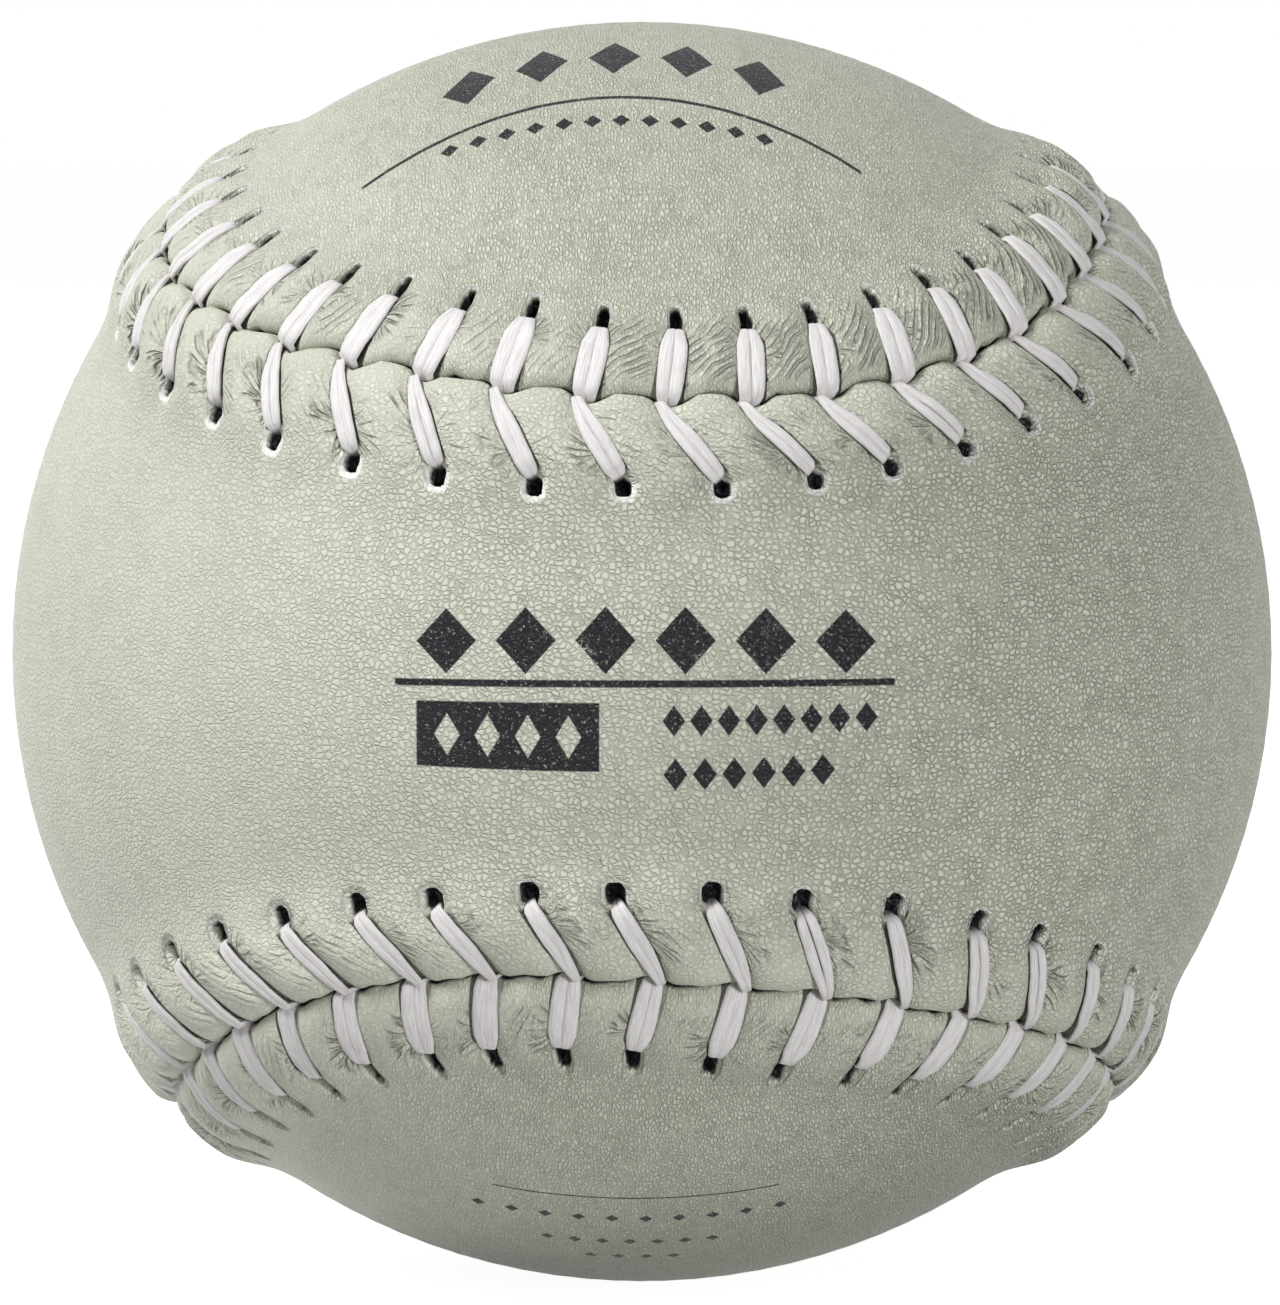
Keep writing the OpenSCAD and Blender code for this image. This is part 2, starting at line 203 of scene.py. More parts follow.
class Stitching:
    """Where each stitch lies, and how the leather bends round it.

    Lengths are in millimetres. A CHANGE is what comes to a size halfway round the joint, a START and an END are
    where it grows from nothing and falls to it, and a SPREAD is how much it differs from stitch to stitch.
    """

    SEED = 27
    WANDER_SPREAD = 0.09
    SWELL_SPREAD = 0.16
    TILT_SPREAD = 0.16
    WIDTH_SPREAD = 0.05
    PULL_SPREAD = 0.12
    WAVE_SPREAD = 0.07
    PART_SPREAD = 0.1
    COLUMNS = 16
    REACH = {Side.FRONT: 5.55, Side.BACK: 5.75}
    FAR_REACH = {Side.FRONT: 0.4, Side.BACK: 0.25}
    FOOT = {Side.FRONT: -0.42, Side.BACK: 0.3}
    HOLE_WIDTH = {Side.FRONT: 0.45, Side.BACK: 0.45}
    HOLE_LENGTH = {Side.FRONT: 0.72, Side.BACK: 1.1}
    HOLE_SHIFT = {Side.FRONT: 0.32, Side.BACK: 0.4}
    GROWTH = 0.2
    HOLE_POWER = 2.8
    SLANT = {Side.FRONT: 3.0, Side.BACK: 1.25}
    SLANT_CHANGE = {Side.FRONT: -0.55, Side.BACK: 1.5}
    CLIMB = 0.36
    CLIMB_CHANGE = 0.14
    SKEW = 0.14
    BULGE = 0.22
    BULGE_CHANGE = 0.2
    SWELL = 0.56
    SWELL_GAP = 1.35
    SWELL_START = (-0.8, 1.6)
    SWELL_END = (4.5, 8.5)
    DENT = 0.36
    DENT_WIDTH = 0.85
    DENT_END = (5.0, 6.8)
    LIP = 0.52
    LIP_PROUD = 0.22
    LIP_PULL = 0.25
    DRAW = 0.16
    DRAW_AREA = 3.2
    NARROWING = 0.86
    WANDER_FADE = 1.6
    LIP_FADE = 0.8
    OFFSETS = (0.0, 0.17, 0.34, 0.52, 0.72, 1.0, 1.4, 2.0, 2.745)

    def __init__(self, sizes: BallSizes, seam: SeamCurve) -> None:
        """Draws the small differences between one stitch and the next.

        Args:
            sizes: The ball's sizes.
            seam: The joint's curve.
        """
        self.sizes = sizes
        self.seam = seam
        n = sizes.stitches
        rng = np.random.default_rng(self.SEED)
        self.wander = rng.normal(0.0, self.WANDER_SPREAD, n)
        self.swell = {side: rng.normal(1.0, self.SWELL_SPREAD, n) for side in Side}
        self.tilt = {side: rng.normal(0.0, self.TILT_SPREAD, n) for side in Side}
        self.width = {side: rng.normal(1.0, self.WIDTH_SPREAD, n) for side in Side}
        self.pull = {side: rng.normal(0.0, self.PULL_SPREAD, n) for side in Side}
        self.wave = rng.normal(0.0, self.WAVE_SPREAD, (2, n))
        self.part = {side: rng.normal(1.0, self.PART_SPREAD, n) for side in Side}

    def far(self, i: Array) -> Array:
        """How far round the joint stitch i lies from the first, 1 halfway."""
        return (1.0 - np.cos(2.0 * np.pi * i / self.sizes.stitches)) / 2.0

    def start(self, i: Array) -> Array:
        """Place of stitch i along the joint.

        Args:
            i: The stitch's number.

        Returns:
            Millimetres along the joint.
        """
        s = self.sizes
        sway = s.stitch_sway * np.cos(2.0 * np.pi * s.weaves * i / s.stitches)
        drift = s.stitch_drift * self.far(i) + sway
        return i * self.seam.pitch + s.stitch_start + drift + self.wander[i % s.stitches]

    def lean(self, v: Array, i: Array, side: Side) -> Array:
        """How far along the joint the thread of stitch i lies from its start, v from the joint.

        Args:
            v: Distance from the joint.
            i: The stitch's number.
            side: Which cover.

        Returns:
            Millimetres along the joint.
        """
        n = self.sizes.stitches
        slant = self.SLANT[side]
        if side is Side.FRONT:
            slant = slant + self.SLANT_CHANGE[side] * self.far(i)
        else:
            slant = slant + self.SLANT_CHANGE[side] * self.far(i) * np.sin(4.0 * np.pi * i / n)
        foot = self.FOOT[side]
        share = np.clip(v / self.REACH[side], 0.0, 1.03)
        return foot + (slant + self.tilt[side][i % n] - foot) * share

    def hole_at(self, i: Array, side: Side) -> Array:
        """How far the middle of the hole of stitch i lies from the joint."""
        return self.REACH[side] + self.FAR_REACH[side] * self.far(i) + self.pull[side][i % self.sizes.stitches]

    def grown(self, i: Array) -> Array:
        """How much larger the hole of stitch i is than the first."""
        return 1.0 + self.GROWTH * self.far(i)

    def crack(self, d: Array, i: Array) -> Array:
        """How far the joint wanders from its curve, d past stitch i.

        Args:
            d: Distance along the joint from the stitch's start.
            i: The stitch's number.

        Returns:
            Millimetres towards the back cover.
        """
        n = self.sizes.stitches
        x = np.mod(d / self.seam.pitch, 1.0) * 2.0 * np.pi
        first, second = self.wave[0][i % n], self.wave[1][i % n]
        far = self.far(i)
        climb = (first - self.CLIMB + self.CLIMB_CHANGE * far) * np.sin(x) - self.SKEW * np.sin(2.0 * x)
        return climb + (self.BULGE - self.BULGE_CHANGE * far + second) * (1.0 - np.cos(x))

    def ridge(self, v: Array) -> Array:
        """Height of the raised seam v from the joint, without the stitches.

        Args:
            v: Distance from the joint.

        Returns:
            Millimetres over the smooth ball.
        """
        s = self.sizes
        share = np.clip((v - s.crest) / (s.ridge_end - s.crest), 0.0, 1.0)
        return s.ridge_height * (1.0 + np.cos(np.pi * share)) / 2.0

    def top(self, d: Array, v: Array, i: Array, side: Side) -> Array:
        """Height of the leather over the smooth ball.

        Args:
            d: Distance along the joint from the thread of the nearest stitch.
            v: Distance from the joint.
            i: Number of the nearest stitch.
            side: Which cover.

        Returns:
            The height in millimetres, without the stitch holes.
        """
        n = self.sizes.stitches
        swell = self.SWELL * self.swell[side][i % n] * (1.0 - bell(d, self.SWELL_GAP))
        swell = swell * (1.0 - smooth(*self.SWELL_END, v)) * smooth(*self.SWELL_START, v)
        dent = self.DENT * bell(d, self.DENT_WIDTH) * (1.0 - smooth(*self.DENT_END, v))
        proud = self.far(i) if side is Side.BACK else 1.0 - self.far(i)
        near = np.exp(-v / self.LIP_FADE)
        lip = (self.LIP - self.LIP_PROUD * proud) * near + self.LIP_PULL * near * bell(d, 1.0)
        hole = self.hole_at(i, side)
        draw = self.DRAW * np.exp(-(d * d + (v - hole) ** 2) / self.DRAW_AREA)
        return self.ridge(v) + swell - dent - lip - draw


class Graph:
    """Builds the nodes of one material, or of the world."""

    def __init__(self, owner: Any, output: str = "OutputMaterial") -> None:
        """Starts with an output node alone.

        Args:
            owner: The new material or world.
            output: The output node's type, without the words ShaderNode.
        """
        owner.use_nodes = True
        self.owner = owner
        self.tree = owner.node_tree
        self.tree.nodes.clear()
        self.output = self.add(output)

    def put(self, socket: Socket, value: Any) -> None:
        """Links a socket to another, or sets its value.

        Args:
            socket: The input.
            value: Another node's output, a value, or None to leave it as it is.
        """
        if isinstance(value, bpy.types.NodeSocket):
            self.tree.links.new(value, socket)
        elif value is not None:
            socket.default_value = value

    def add(self, kind: str, inputs: dict[Any, Any] | None = None, **settings: Any) -> Any:
        """Adds a node.

        Args:
            kind: The node's type, without the words ShaderNode.
            inputs: Values or sockets for its inputs, by name or number.
            settings: The node's own settings.

        Returns:
            The node.
        """
        node = self.tree.nodes.new("ShaderNode" + kind)
        for key, value in settings.items():
            setattr(node, key, value)
        for key, value in (inputs or {}).items():
            self.put(node.inputs[key], value)
        return node

    def math(self, operation: str, a: Any, b: Any = None, c: Any = None) -> Socket:
        """A Math node's result."""
        return self.add("Math", {0: a, 1: b, 2: c}, operation=operation).outputs[0]

    def times(self, a: Any, b: Any) -> Socket:
        """The product of two numbers."""
        return self.math("MULTIPLY", a, b)

    def unsigned(self, a: Any) -> Socket:
        """A number without its sign."""
        return self.math("ABSOLUTE", a)

    def vector(self, operation: str, a: Any, b: Any = None) -> Socket:
        """A Vector Math node's vector."""
        return self.add("VectorMath", {0: a, 1: b}, operation=operation).outputs[0]

    def scale(self, a: Any, factor: float) -> Socket:
        """A vector times a number."""
        return self.add("VectorMath", {0: a, "Scale": factor}, operation="SCALE").outputs[0]

    def ramp(self, x: Any, low: float, high: float, start: float = 0.0, end: float = 1.0) -> Socket:
        """Maps x from low..high to start..end with smooth ends.

        Args:
            x: The value to map.
            low: Where the rise starts.
            high: Where it ends.
            start: The result at low.
            end: The result at high.

        Returns:
            The result's socket.
        """
        node = self.add("MapRange", {0: x, 1: low, 2: high, 3: start, 4: end})
        node.interpolation_type = "SMOOTHSTEP"
        return node.outputs[0]

    def fall(self, x: Any, low: float, high: float) -> Socket:
        """1 where x is under low and 0 where it is over high, with smooth ends."""
        return self.ramp(x, low, high, 1.0, 0.0)

    def mix(self, share: Any, a: Any, b: Any) -> Socket:
        """Mixes two colours.

        Args:
            share: How much of the second colour.
            a: The first colour.
            b: The second colour.

        Returns:
            The mixed colour's socket.
        """
        node = self.add("Mix", data_type="RGBA")
        self.put(node.inputs[0], share)
        self.put(node.inputs[6], a)
        self.put(node.inputs[7], b)
        return node.outputs[2]

    def noise(
        self, where: Any, scale: float, detail: float = 2.0, rough: float = 0.5, output: str = "Fac"
    ) -> Socket:
        """A Noise Texture's value, or its colour."""
        inputs = {"Vector": where, "Scale": scale, "Detail": detail, "Roughness": rough}
        return self.add("TexNoise", inputs).outputs[output]

    def object_mm(self) -> Socket:
        """Object coordinates in millimetres."""
        return self.scale(self.add("TexCoord").outputs["Object"], 1.0 / MM)

    def pattern(self, name: str) -> Socket:
        """A pattern coordinate that the mesh holds, in millimetres."""
        return self.add("UVMap", uv_map=name).outputs[0]

    def value(self, name: str) -> Socket:
        """A number that the mesh holds."""
        return self.add("Attribute", attribute_name=name).outputs["Fac"]

    def split(self, a: Any) -> Any:
        """A vector's three numbers."""
        return self.add("SeparateXYZ", {0: a}).outputs

    def finish(self, shader: Any) -> Any:
        """Links the shader to the output and hands over the material or world."""
        self.put(self.output.inputs["Surface"], shader.outputs[0])
        return self.owner

    def surface(self, height: Socket, inputs: dict[str, Any]) -> bpy.types.Material:
        """Finishes a material.

        Args:
            height: Height of the surface's fine relief, in millimetres.
            inputs: Values or sockets for the shader's inputs, by name.

        Returns:
            The material.
        """
        bump = self.add("Bump", {"Strength": 1.0, "Distance": MM, "Height": height})
        return self.finish(self.add("BsdfPrincipled", {**inputs, "Normal": bump.outputs[0]}))


def srgb(red: int, green: int, blue: int) -> tuple[float, float, float, float]:
    """A colour given as on a screen, from 0 to 255, for a shader.

    Args:
        red: Its red.
        green: Its green.
        blue: Its blue.

    Returns:
        The linear colour, with full cover.
    """

    def linear(c: float) -> float:
        """One channel from screen to linear."""
        c /= 255.0
        return c / 12.92 if c <= 0.04045 else ((c + 0.055) / 1.055) ** 2.4

    return (linear(red), linear(green), linear(blue), 1.0)


@dataclass(frozen=True)
class PebbleGrain:
    """The leather's pebbles. Lengths are in millimetres, the stretch is for the front cover and the back one."""

    size: float = 0.41
    evenness: float = 0.87
    edge: Ramp = (-0.06, 0.27)
    warps: tuple[tuple[float, float], ...] = ((0.8, 0.5), (2.6, 0.3))
    stretch: tuple[tuple[float, float, float], ...] = ((0.94, 1.0, 1.08), (1.85, 0.9, 0.85))

    def warp(self, g: Graph, where: Socket, scale: float, amount: float) -> Socket:
        """A push to the side that changes from place to place.

        Args:
            g: The material's nodes.
            where: The place in millimetres.
            scale: How quickly it changes.
            amount: The push's size.

        Returns:
            The push's socket.
        """
        colour = g.noise(where, scale, 1.0, output="Color")
        return g.scale(g.vector("SUBTRACT", colour, (0.5, 0.5, 0.5)), amount)

    def height(self, g: Graph, where: Socket, side: Side) -> Socket:
        """Height of the pebbles, from 0 in a groove to 1 on top.

        Args:
            g: The material's nodes.
            where: Object coordinates in millimetres.
            side: Which cover it is for.

        Returns:
            The height's socket.
        """
        where = g.vector("MULTIPLY", where, self.stretch[side.kind])
        broad, fine = [self.warp(g, where, scale, amount) for scale, amount in self.warps]
        place = g.vector("ADD", where, g.vector("ADD", broad, fine))
        inputs = {"Vector": place, "Scale": 1.0 / self.size, "Randomness": self.evenness}
        cells = g.add("TexVoronoi", inputs, feature="DISTANCE_TO_EDGE")
        return g.ramp(cells.outputs["Distance"], *self.edge)


@dataclass(frozen=True)
class Creases:
    """Folds in the leather: a star of them at each stitch hole, and slanting stripes beside its thread.

    Lengths are in millimetres. The star's middle and the zone where a cover is creased the most, its middle
    along the joint and its reach, are for the front cover and the back one.
    """

    star_middle: tuple[float, float] = (1.7, 2.2)
    star_rays: float = 1.4
    star_change: float = 0.2
    star_drift: float = 0.06
    star_noise: Noise = (2.1, 1.0)
    star_fold: Ramp = (0.0, 0.13)
    star_start: Ramp = (0.6, 1.0)
    star_end: Ramp = (1.7, 3.2)
    star_outer: Ramp = (0.2, 1.2)
    star_aside: Ramp = (1.7, 2.3)
    star_hand: Ramp = (-0.5, 0.5, 0.3, 1.0)
    star_spread: Noise = (0.31, 1.0)
    star_patches: Ramp = (0.4, 0.58, 0.15, 1.0)
    star_zone: tuple[float, float] = (0.5, 0.7)
    stripe_turn: Ramp = (-8.0, 34.0, 0.6, 1.15)
    stripe_rate: float = 10.4
    stripe_warp: float = 11.0
    stripe_noise: Noise = (0.34, 2.0)
    stripe_wave: Ramp = (-0.5, 1.0, 0.0, 1.15)
    stripe_change: Noise = (0.5, 1.0)
    stripe_depth: Ramp = (0.36, 0.56, 0.25, 1.0)
    stripe_start: Ramp = (0.4, 1.8)
    stripe_end: Ramp = (4.0, 6.8)
    stripe_aside: Ramp = (2.9, 4.2)
    stripe_spread: Noise = (0.16, 1.0)
    stripe_patches: Ramp = (0.44, 0.58, 0.05, 0.3)
    stripe_front: float = 0.65
    pillow: float = 4.72
    zone: tuple[tuple[float, float], ...] = ((455.0, 20.0), (19.0, 27.0))
    zone_core: float = 0.7

    def in_zone(self, g: Graph, side: Side) -> Socket:
        """Where the cover is creased the most.

        Args:
            g: The material's nodes.
            side: Which cover it is for.

        Returns:
            A mask, 1 in that zone and 0 far from it.
        """
        centre, reach = self.zone[side.kind]
        away = g.unsigned(g.math("SUBTRACT", g.split(g.pattern("Seam"))[0], centre))
        return g.fall(away, reach * self.zone_core, reach)

    def star(self, g: Graph, side: Side, zone: Socket) -> Socket:
        """Folds that run out from each stitch, near its hole.

        Args:
            g: The material's nodes.
            side: Which cover it is for.
            zone: How much a place lies in the zone.

        Returns:
            The depth of the folds, from 0 to about 1.
        """
        stitch, seam = g.pattern("Stitch"), g.pattern("Seam")
        aside, outer, _ = g.split(stitch)
        out = g.vector("ADD", stitch, (0.0, self.star_middle[side.kind], 0.0))
        reach = g.add("VectorMath", {0: out}, operation="LENGTH").outputs["Value"]
        ray = g.scale(g.vector("NORMALIZE", out), self.star_rays)
        far = g.add("CombineXYZ", {2: g.times(reach, self.star_change)}).outputs[0]
        place = g.vector("ADD", g.vector("ADD", ray, far), g.scale(seam, self.star_drift))
        fold = g.unsigned(g.math("SUBTRACT", g.noise(place, *self.star_noise), 0.5))
        ring = g.times(g.ramp(reach, *self.star_start), g.fall(reach, *self.star_end))
        inward = g.fall(outer, *self.star_outer)
        patches = g.ramp(g.noise(seam, *self.star_spread), *self.star_patches)
        apart = g.fall(g.unsigned(aside), *self.star_aside)
        hand = g.ramp(g.times(aside, float(side.value)), *self.star_hand)
        mask = g.times(g.times(ring, g.times(inward, patches)), g.times(apart, hand))
        fold = g.times(g.fall(fold, *self.star_fold), mask)
        if side is Side.FRONT:
            fold = g.times(fold, g.math("MULTIPLY_ADD", zone, *self.star_zone))
        return fold

    def stripes(self, g: Graph, side: Side, zone: Socket) -> Socket:
        """Slanting folds beside each stitch's thread.

        Args:
            g: The material's nodes.
            side: Which cover it is for.
            zone: How much a place lies in the zone.

        Returns:
            The depth of the folds, from 0 to about 1.
        """
        seam = g.pattern("Seam")
        s, v, _ = g.split(seam)
        aside = g.split(g.pattern("Stitch"))[0]
        across = g.unsigned(v)
        turn = g.ramp(s, *self.stripe_turn)
        past = g.math("MULTIPLY_ADD", g.math("LESS_THAN", aside, 0.0), self.pillow, aside)
        over = g.times(across, g.math("COSINE", turn))
        over = g.math("SUBTRACT", over, g.times(past, g.math("SINE", turn)))
        warp = g.times(g.noise(seam, *self.stripe_noise), self.stripe_warp)
        wave = g.math("SINE", g.math("MULTIPLY_ADD", over, self.stripe_rate, warp))
        change = g.ramp(g.noise(seam, *self.stripe_change), *self.stripe_depth)
        fold = g.times(g.ramp(wave, *self.stripe_wave), change)
        band = g.times(g.ramp(across, *self.stripe_start), g.fall(across, *self.stripe_end))
        band = g.times(band, g.fall(past, *self.stripe_aside))
        patches = g.ramp(g.noise(seam, *self.stripe_spread), *self.stripe_patches)
        if side is Side.FRONT:
            fold = g.times(fold, self.stripe_front)
        else:
            patches = g.math("MAXIMUM", patches, zone)
        return g.times(fold, g.times(band, patches))

    def depth(self, g: Graph, side: Side) -> Socket:
        """Depth of all the folds, from 0 to about 1."""
        zone = self.in_zone(g, side)
        return g.math("MAXIMUM", self.star(g, side, zone), self.stripes(g, side, zone))


@dataclass(frozen=True)
class HoleLook:
    """The cut edge of a stitch hole, the dark inside it painted as shade, and a contact shadow painted along the
    edges of its thread.

    Lengths are in millimetres, and pairs that differ by cover are for the front one and the back one.
    """

    joint_length: float = 483.37
    cut: Ramp = (0.98, 1.04)
    edge: tuple[Ramp, ...] = ((1.42, 1.7), (1.18, 1.38))
    thinning: tuple[float, float] = (0.3, 0.16)
    far_share: tuple[float, float] = (0.8, 0.45)
    outer: Ramp = (0.1, 0.7)
    frayed: float = 0.8
    inside: Ramp = (0.88, 1.0)
    drop: Ramp = (0.3, 0.75)
    # Painted contact shadow along the thread: its reach beside it, its end towards the hole, its narrowing, and its
    # share on the lit side and on the shaded side.
    contact_shadow: tuple[Ramp, ...] = ((0.69, 0.76), (0.89, 0.96))
    contact_shadow_end: tuple[Ramp, ...] = ((-0.8, -0.4), (-0.7, -0.3))
    narrowing: tuple[Ramp, ...] = ((0.3, 2.4, 0.3, 0.0), (-2.0, -0.6, 0.0, 0.34))
    lit: Ramp = (-0.3, 0.3, 0.45, 0.9)

    def place(self, g: Graph, side: Side) -> tuple[Socket, ...]:
        """How a place lies to its stitch hole.

        Args:
            g: The material's nodes.
            side: Which cover it is for.

        Returns:
            Its distance from the hole, 1 at the edge, how far it lies beyond the middle and aside, and how
            far round the joint it lies, 1 halfway.
        """
        s = g.split(g.pattern("Seam"))[0]
        turn = g.math("COSINE", g.times(s, 2.0 * math.pi / self.joint_length))
        far = g.math("MULTIPLY_ADD", turn, -0.5, 0.5)
        grown = g.math("MULTIPLY_ADD", far, Stitching.GROWTH, 1.0)
        x, y, _ = g.split(g.pattern("Stitch"))
        across = g.math("DIVIDE", g.unsigned(x), g.times(grown, Stitching.HOLE_WIDTH[side]))
        beyond = g.math("SUBTRACT", g.math("DIVIDE", y, grown), Stitching.HOLE_SHIFT[side])
        along = g.unsigned(g.times(beyond, 1.0 / Stitching.HOLE_LENGTH[side]))
        power = Stitching.HOLE_POWER
        total = g.math("ADD", g.math("POWER", across, power), g.math("POWER", along, power))
        return g.math("POWER", total, 1.0 / power), y, x, far

    def contact_shadow_mask(self, g: Graph, side: Side, outer: Socket, aside: Socket) -> Socket:
        """Where a contact shadow is painted on the leather along the edges of a stitch's thread, more of it on the
        shaded side.

        Args:
            g: The material's nodes.
            side: Which cover it is for.
            outer: How far a place lies beyond the middle of its hole.
            aside: How far it lies beside the thread's middle.

        Returns:
            The mask, 1 where it is darkest.
        """
        narrow = outer
        if side is Side.FRONT:
            narrow = g.unsigned(g.split(g.pattern("Seam"))[1])
        off = g.math("ADD", g.unsigned(aside), g.ramp(narrow, *self.narrowing[side.kind]))
        mask = g.times(g.fall(off, *self.contact_shadow[side.kind]), g.fall(outer, *self.contact_shadow_end[side.kind]))
        return g.times(mask, g.ramp(aside, *self.lit))

    def rim_mask(self, g: Graph, side: Side, hole: tuple[Socket, ...], patchy: Socket) -> Socket:
        """Where the pale, cut edge of a hole shows.

        Args:
            g: The material's nodes.
            side: Which cover it is for.
            hole: How a place lies to its hole.
            patchy: A noise that frays the edge.

        Returns:
            The mask, 1 on the edge.
        """
        near, outer, _, far = hole
        wide = g.math("MULTIPLY_ADD", far, self.thinning[side.kind], near)
        rim = g.times(g.ramp(near, *self.cut), g.fall(wide, *self.edge[side.kind]))
        rim = g.times(rim, g.ramp(far, 0.0, 1.0, 1.0, self.far_share[side.kind]))
        return g.times(rim, g.ramp(g.math("ADD", outer, g.times(patchy, self.frayed)), *self.outer))

    def recess_shade_mask(self, g: Graph, near: Socket) -> Socket:
        """Where shade is painted: 1 inside the holes and the joint, and 0 on the leather."""
        return g.math("MAXIMUM", g.ramp(g.value("deep"), *self.drop), g.fall(near, *self.inside))


@dataclass(frozen=True)
class LeatherFinish:
    """Pebbled, pale grey-green leather with a soft sheen. Lengths are in millimetres."""

    skin: tuple[float, ...] = srgb(213, 214, 200)
    # Darker grooves between the pebbles: the grain's own tone, and painted shade that grows towards the right.
    groove_tone_and_shade: tuple[float, ...] = srgb(150, 151, 130)
    shade: tuple[float, ...] = srgb(206, 208, 193)
    # Painted shade in the valleys of the folds.
    crease_shade: tuple[float, ...] = srgb(86, 88, 76)
    # Colour of the contact shadow painted along the thread's edges.
    contact_shadow: tuple[float, ...] = srgb(48, 49, 44)
    cut_edge: tuple[float, ...] = srgb(244, 244, 238)
    # Painted shade inside the stitch holes and the joint, and paler patches in it.
    inside: tuple[float, ...] = srgb(28, 29, 33)
    hole_shade_patch: tuple[float, ...] = srgb(124, 124, 130)
    ink: tuple[float, ...] = srgb(16, 19, 26)
    roughness: float = 0.42
    groove_roughness: float = 0.12
    gloss: float = 0.2
    pebble_height: float = 0.115
    fine_height: float = 0.02
    crease_height: float = 0.5
    bevel: float = 0.3
    groove_share: float = 0.65
    crease_shade_share: float = 0.3
    broad: Noise = (0.05, 3.0)
    broad_shade: Ramp = (0.35, 0.7)
    patchy: Noise = (0.5, 3.0, 0.6)
    fine: Noise = (4.5, 3.0, 0.6)
    depth_patches: Ramp = (0.35, 0.65, 0.8, 1.0)
    # Groove depth, and with it the painted shade in the grooves, falls at the left and grows at the right.
    depth_left: Ramp = (-32.0, -2.0, 0.56, 0.95)
    depth_right: Ramp = (4.0, 26.0, 1.0, 1.25)
    depth_seam: Ramp = (2.0, 7.5, 0.6, 1.0)
    wear_by_pebble: float = 0.35
    wear: Ramp = (0.26, 0.42)
    specks: Ramp = (0.6, 0.68, 0.99, 0.5)
    hole_shade_patch_noise: Noise = (2.4, 2.0)
    hole_shade_patch_spread: Ramp = (0.5, 0.72, 0.0, 0.6)
    grain: PebbleGrain = PebbleGrain()
    creases: Creases = Creases()
    hole: HoleLook = HoleLook()

    def groove_depth(self, g: Graph, where: Socket, patchy: Socket) -> Socket:
        """How deep the grooves between the pebbles are, for their relief and their darkening: deeper at the right,
        shallower by the joint, so that more shade is painted in them away from the key lamp.

        Args:
            g: The material's nodes.
            where: Object coordinates in millimetres.
            patchy: A noise that varies it.

        Returns:
            The depth's socket.
        """
        right = g.split(where)[0]
        across = g.unsigned(g.split(g.pattern("Seam"))[1])
        depth = g.ramp(patchy, *self.depth_patches)
        for place, change in ((right, self.depth_left), (right, self.depth_right), (across, self.depth_seam)):
            depth = g.times(depth, g.ramp(place, *change))
        return depth

    def ink_mask(self, g: Graph, mark: Socket, noises: tuple[Socket, ...]) -> Socket:
        """How much ink is left on the leather.

        Args:
            g: The material's nodes.
            mark: Where ink was printed.
            noises: The pebbles' height, the patchy noise and the fine one.

        Returns:
            The ink's share.
        """
        pebble, patchy, fine = noises
        worn = g.ramp(g.math("MULTIPLY_ADD", pebble, self.wear_by_pebble, patchy), *self.wear)
        return g.times(mark, g.times(worn, g.ramp(fine, *self.specks)))

    def build(self, name: str, marks: "Marks", side: Side) -> bpy.types.Material:
        """Builds the material.

        Args:
            name: The material's name.
            marks: The printed marks on this cover.
            side: Which cover it is for.

        Returns:
            The material.
        """
        g = Graph(bpy.data.materials.new(name))
        where = g.object_mm()
        pebble = self.grain.height(g, where, side)
        crease = self.creases.depth(g, side)
        patchy, fine = g.noise(where, *self.patchy), g.noise(where, *self.fine)
        depth = self.groove_depth(g, where, patchy)

        base = g.mix(g.ramp(g.noise(where, *self.broad), *self.broad_shade), self.skin, self.shade)
        # Darker grooves between the pebbles: the grain's own tone, and painted shade that grows towards the right.
        low = g.times(g.math("SUBTRACT", 1.0, pebble), g.times(depth, self.groove_share))
        base = g.mix(low, base, self.groove_tone_and_shade)
        # Painted shade in the valleys of the folds.
        base = g.mix(g.times(crease, self.crease_shade_share), base, self.crease_shade)
        base = g.mix(self.ink_mask(g, marks.mask(g, where), (pebble, patchy, fine)), base, self.ink)
        hole = self.hole.place(g, side)
        near, outer, aside, _ = hole
        # Painted contact shadow along the edges of each stitch's thread.
        base = g.mix(self.hole.contact_shadow_mask(g, side, outer, aside), base, self.contact_shadow)
        base = g.mix(self.hole.rim_mask(g, side, hole, patchy), base, self.cut_edge)
        # Painted shade inside the stitch holes and the joint, with paler patches.
        hole_shade_patch = g.ramp(g.noise(where, *self.hole_shade_patch_noise), *self.hole_shade_patch_spread)
        base = g.mix(self.hole.recess_shade_mask(g, near), base, g.mix(hole_shade_patch, self.inside, self.hole_shade_patch))

        height = g.times(g.times(pebble, depth), self.pebble_height)
        height = g.math("MULTIPLY_ADD", fine, self.fine_height, height)
        height = g.math("MULTIPLY_ADD", crease, -self.crease_height, height)
        bevel = g.fall(near, 1.0, self.hole.edge[side.kind][1])
        height = g.math("MULTIPLY_ADD", bevel, -self.bevel, height)
        rough = g.ramp(pebble, 0.0, 1.0, self.roughness + self.groove_roughness, self.roughness)
        return g.surface(height, {"Base Color": base, "Roughness": rough, "Specular IOR Level": self.gloss})


@dataclass(frozen=True)
class LozengeRow:
    """A printed row of plain lozenges, in millimetres on the ball's front."""

    x: float
    arc: float
    count: int
    pitch: float
    width: float
    height: float
    bow: float = 0.0
    turn: float = 0.0
    reversed_out: bool = False


@dataclass(frozen=True)
class Bar:
    """A printed bar, in millimetres on the ball's front."""

    x: float
    arc: float
    width: float
    height: float
    bow: float = 0.0
    turn: float = 0.0


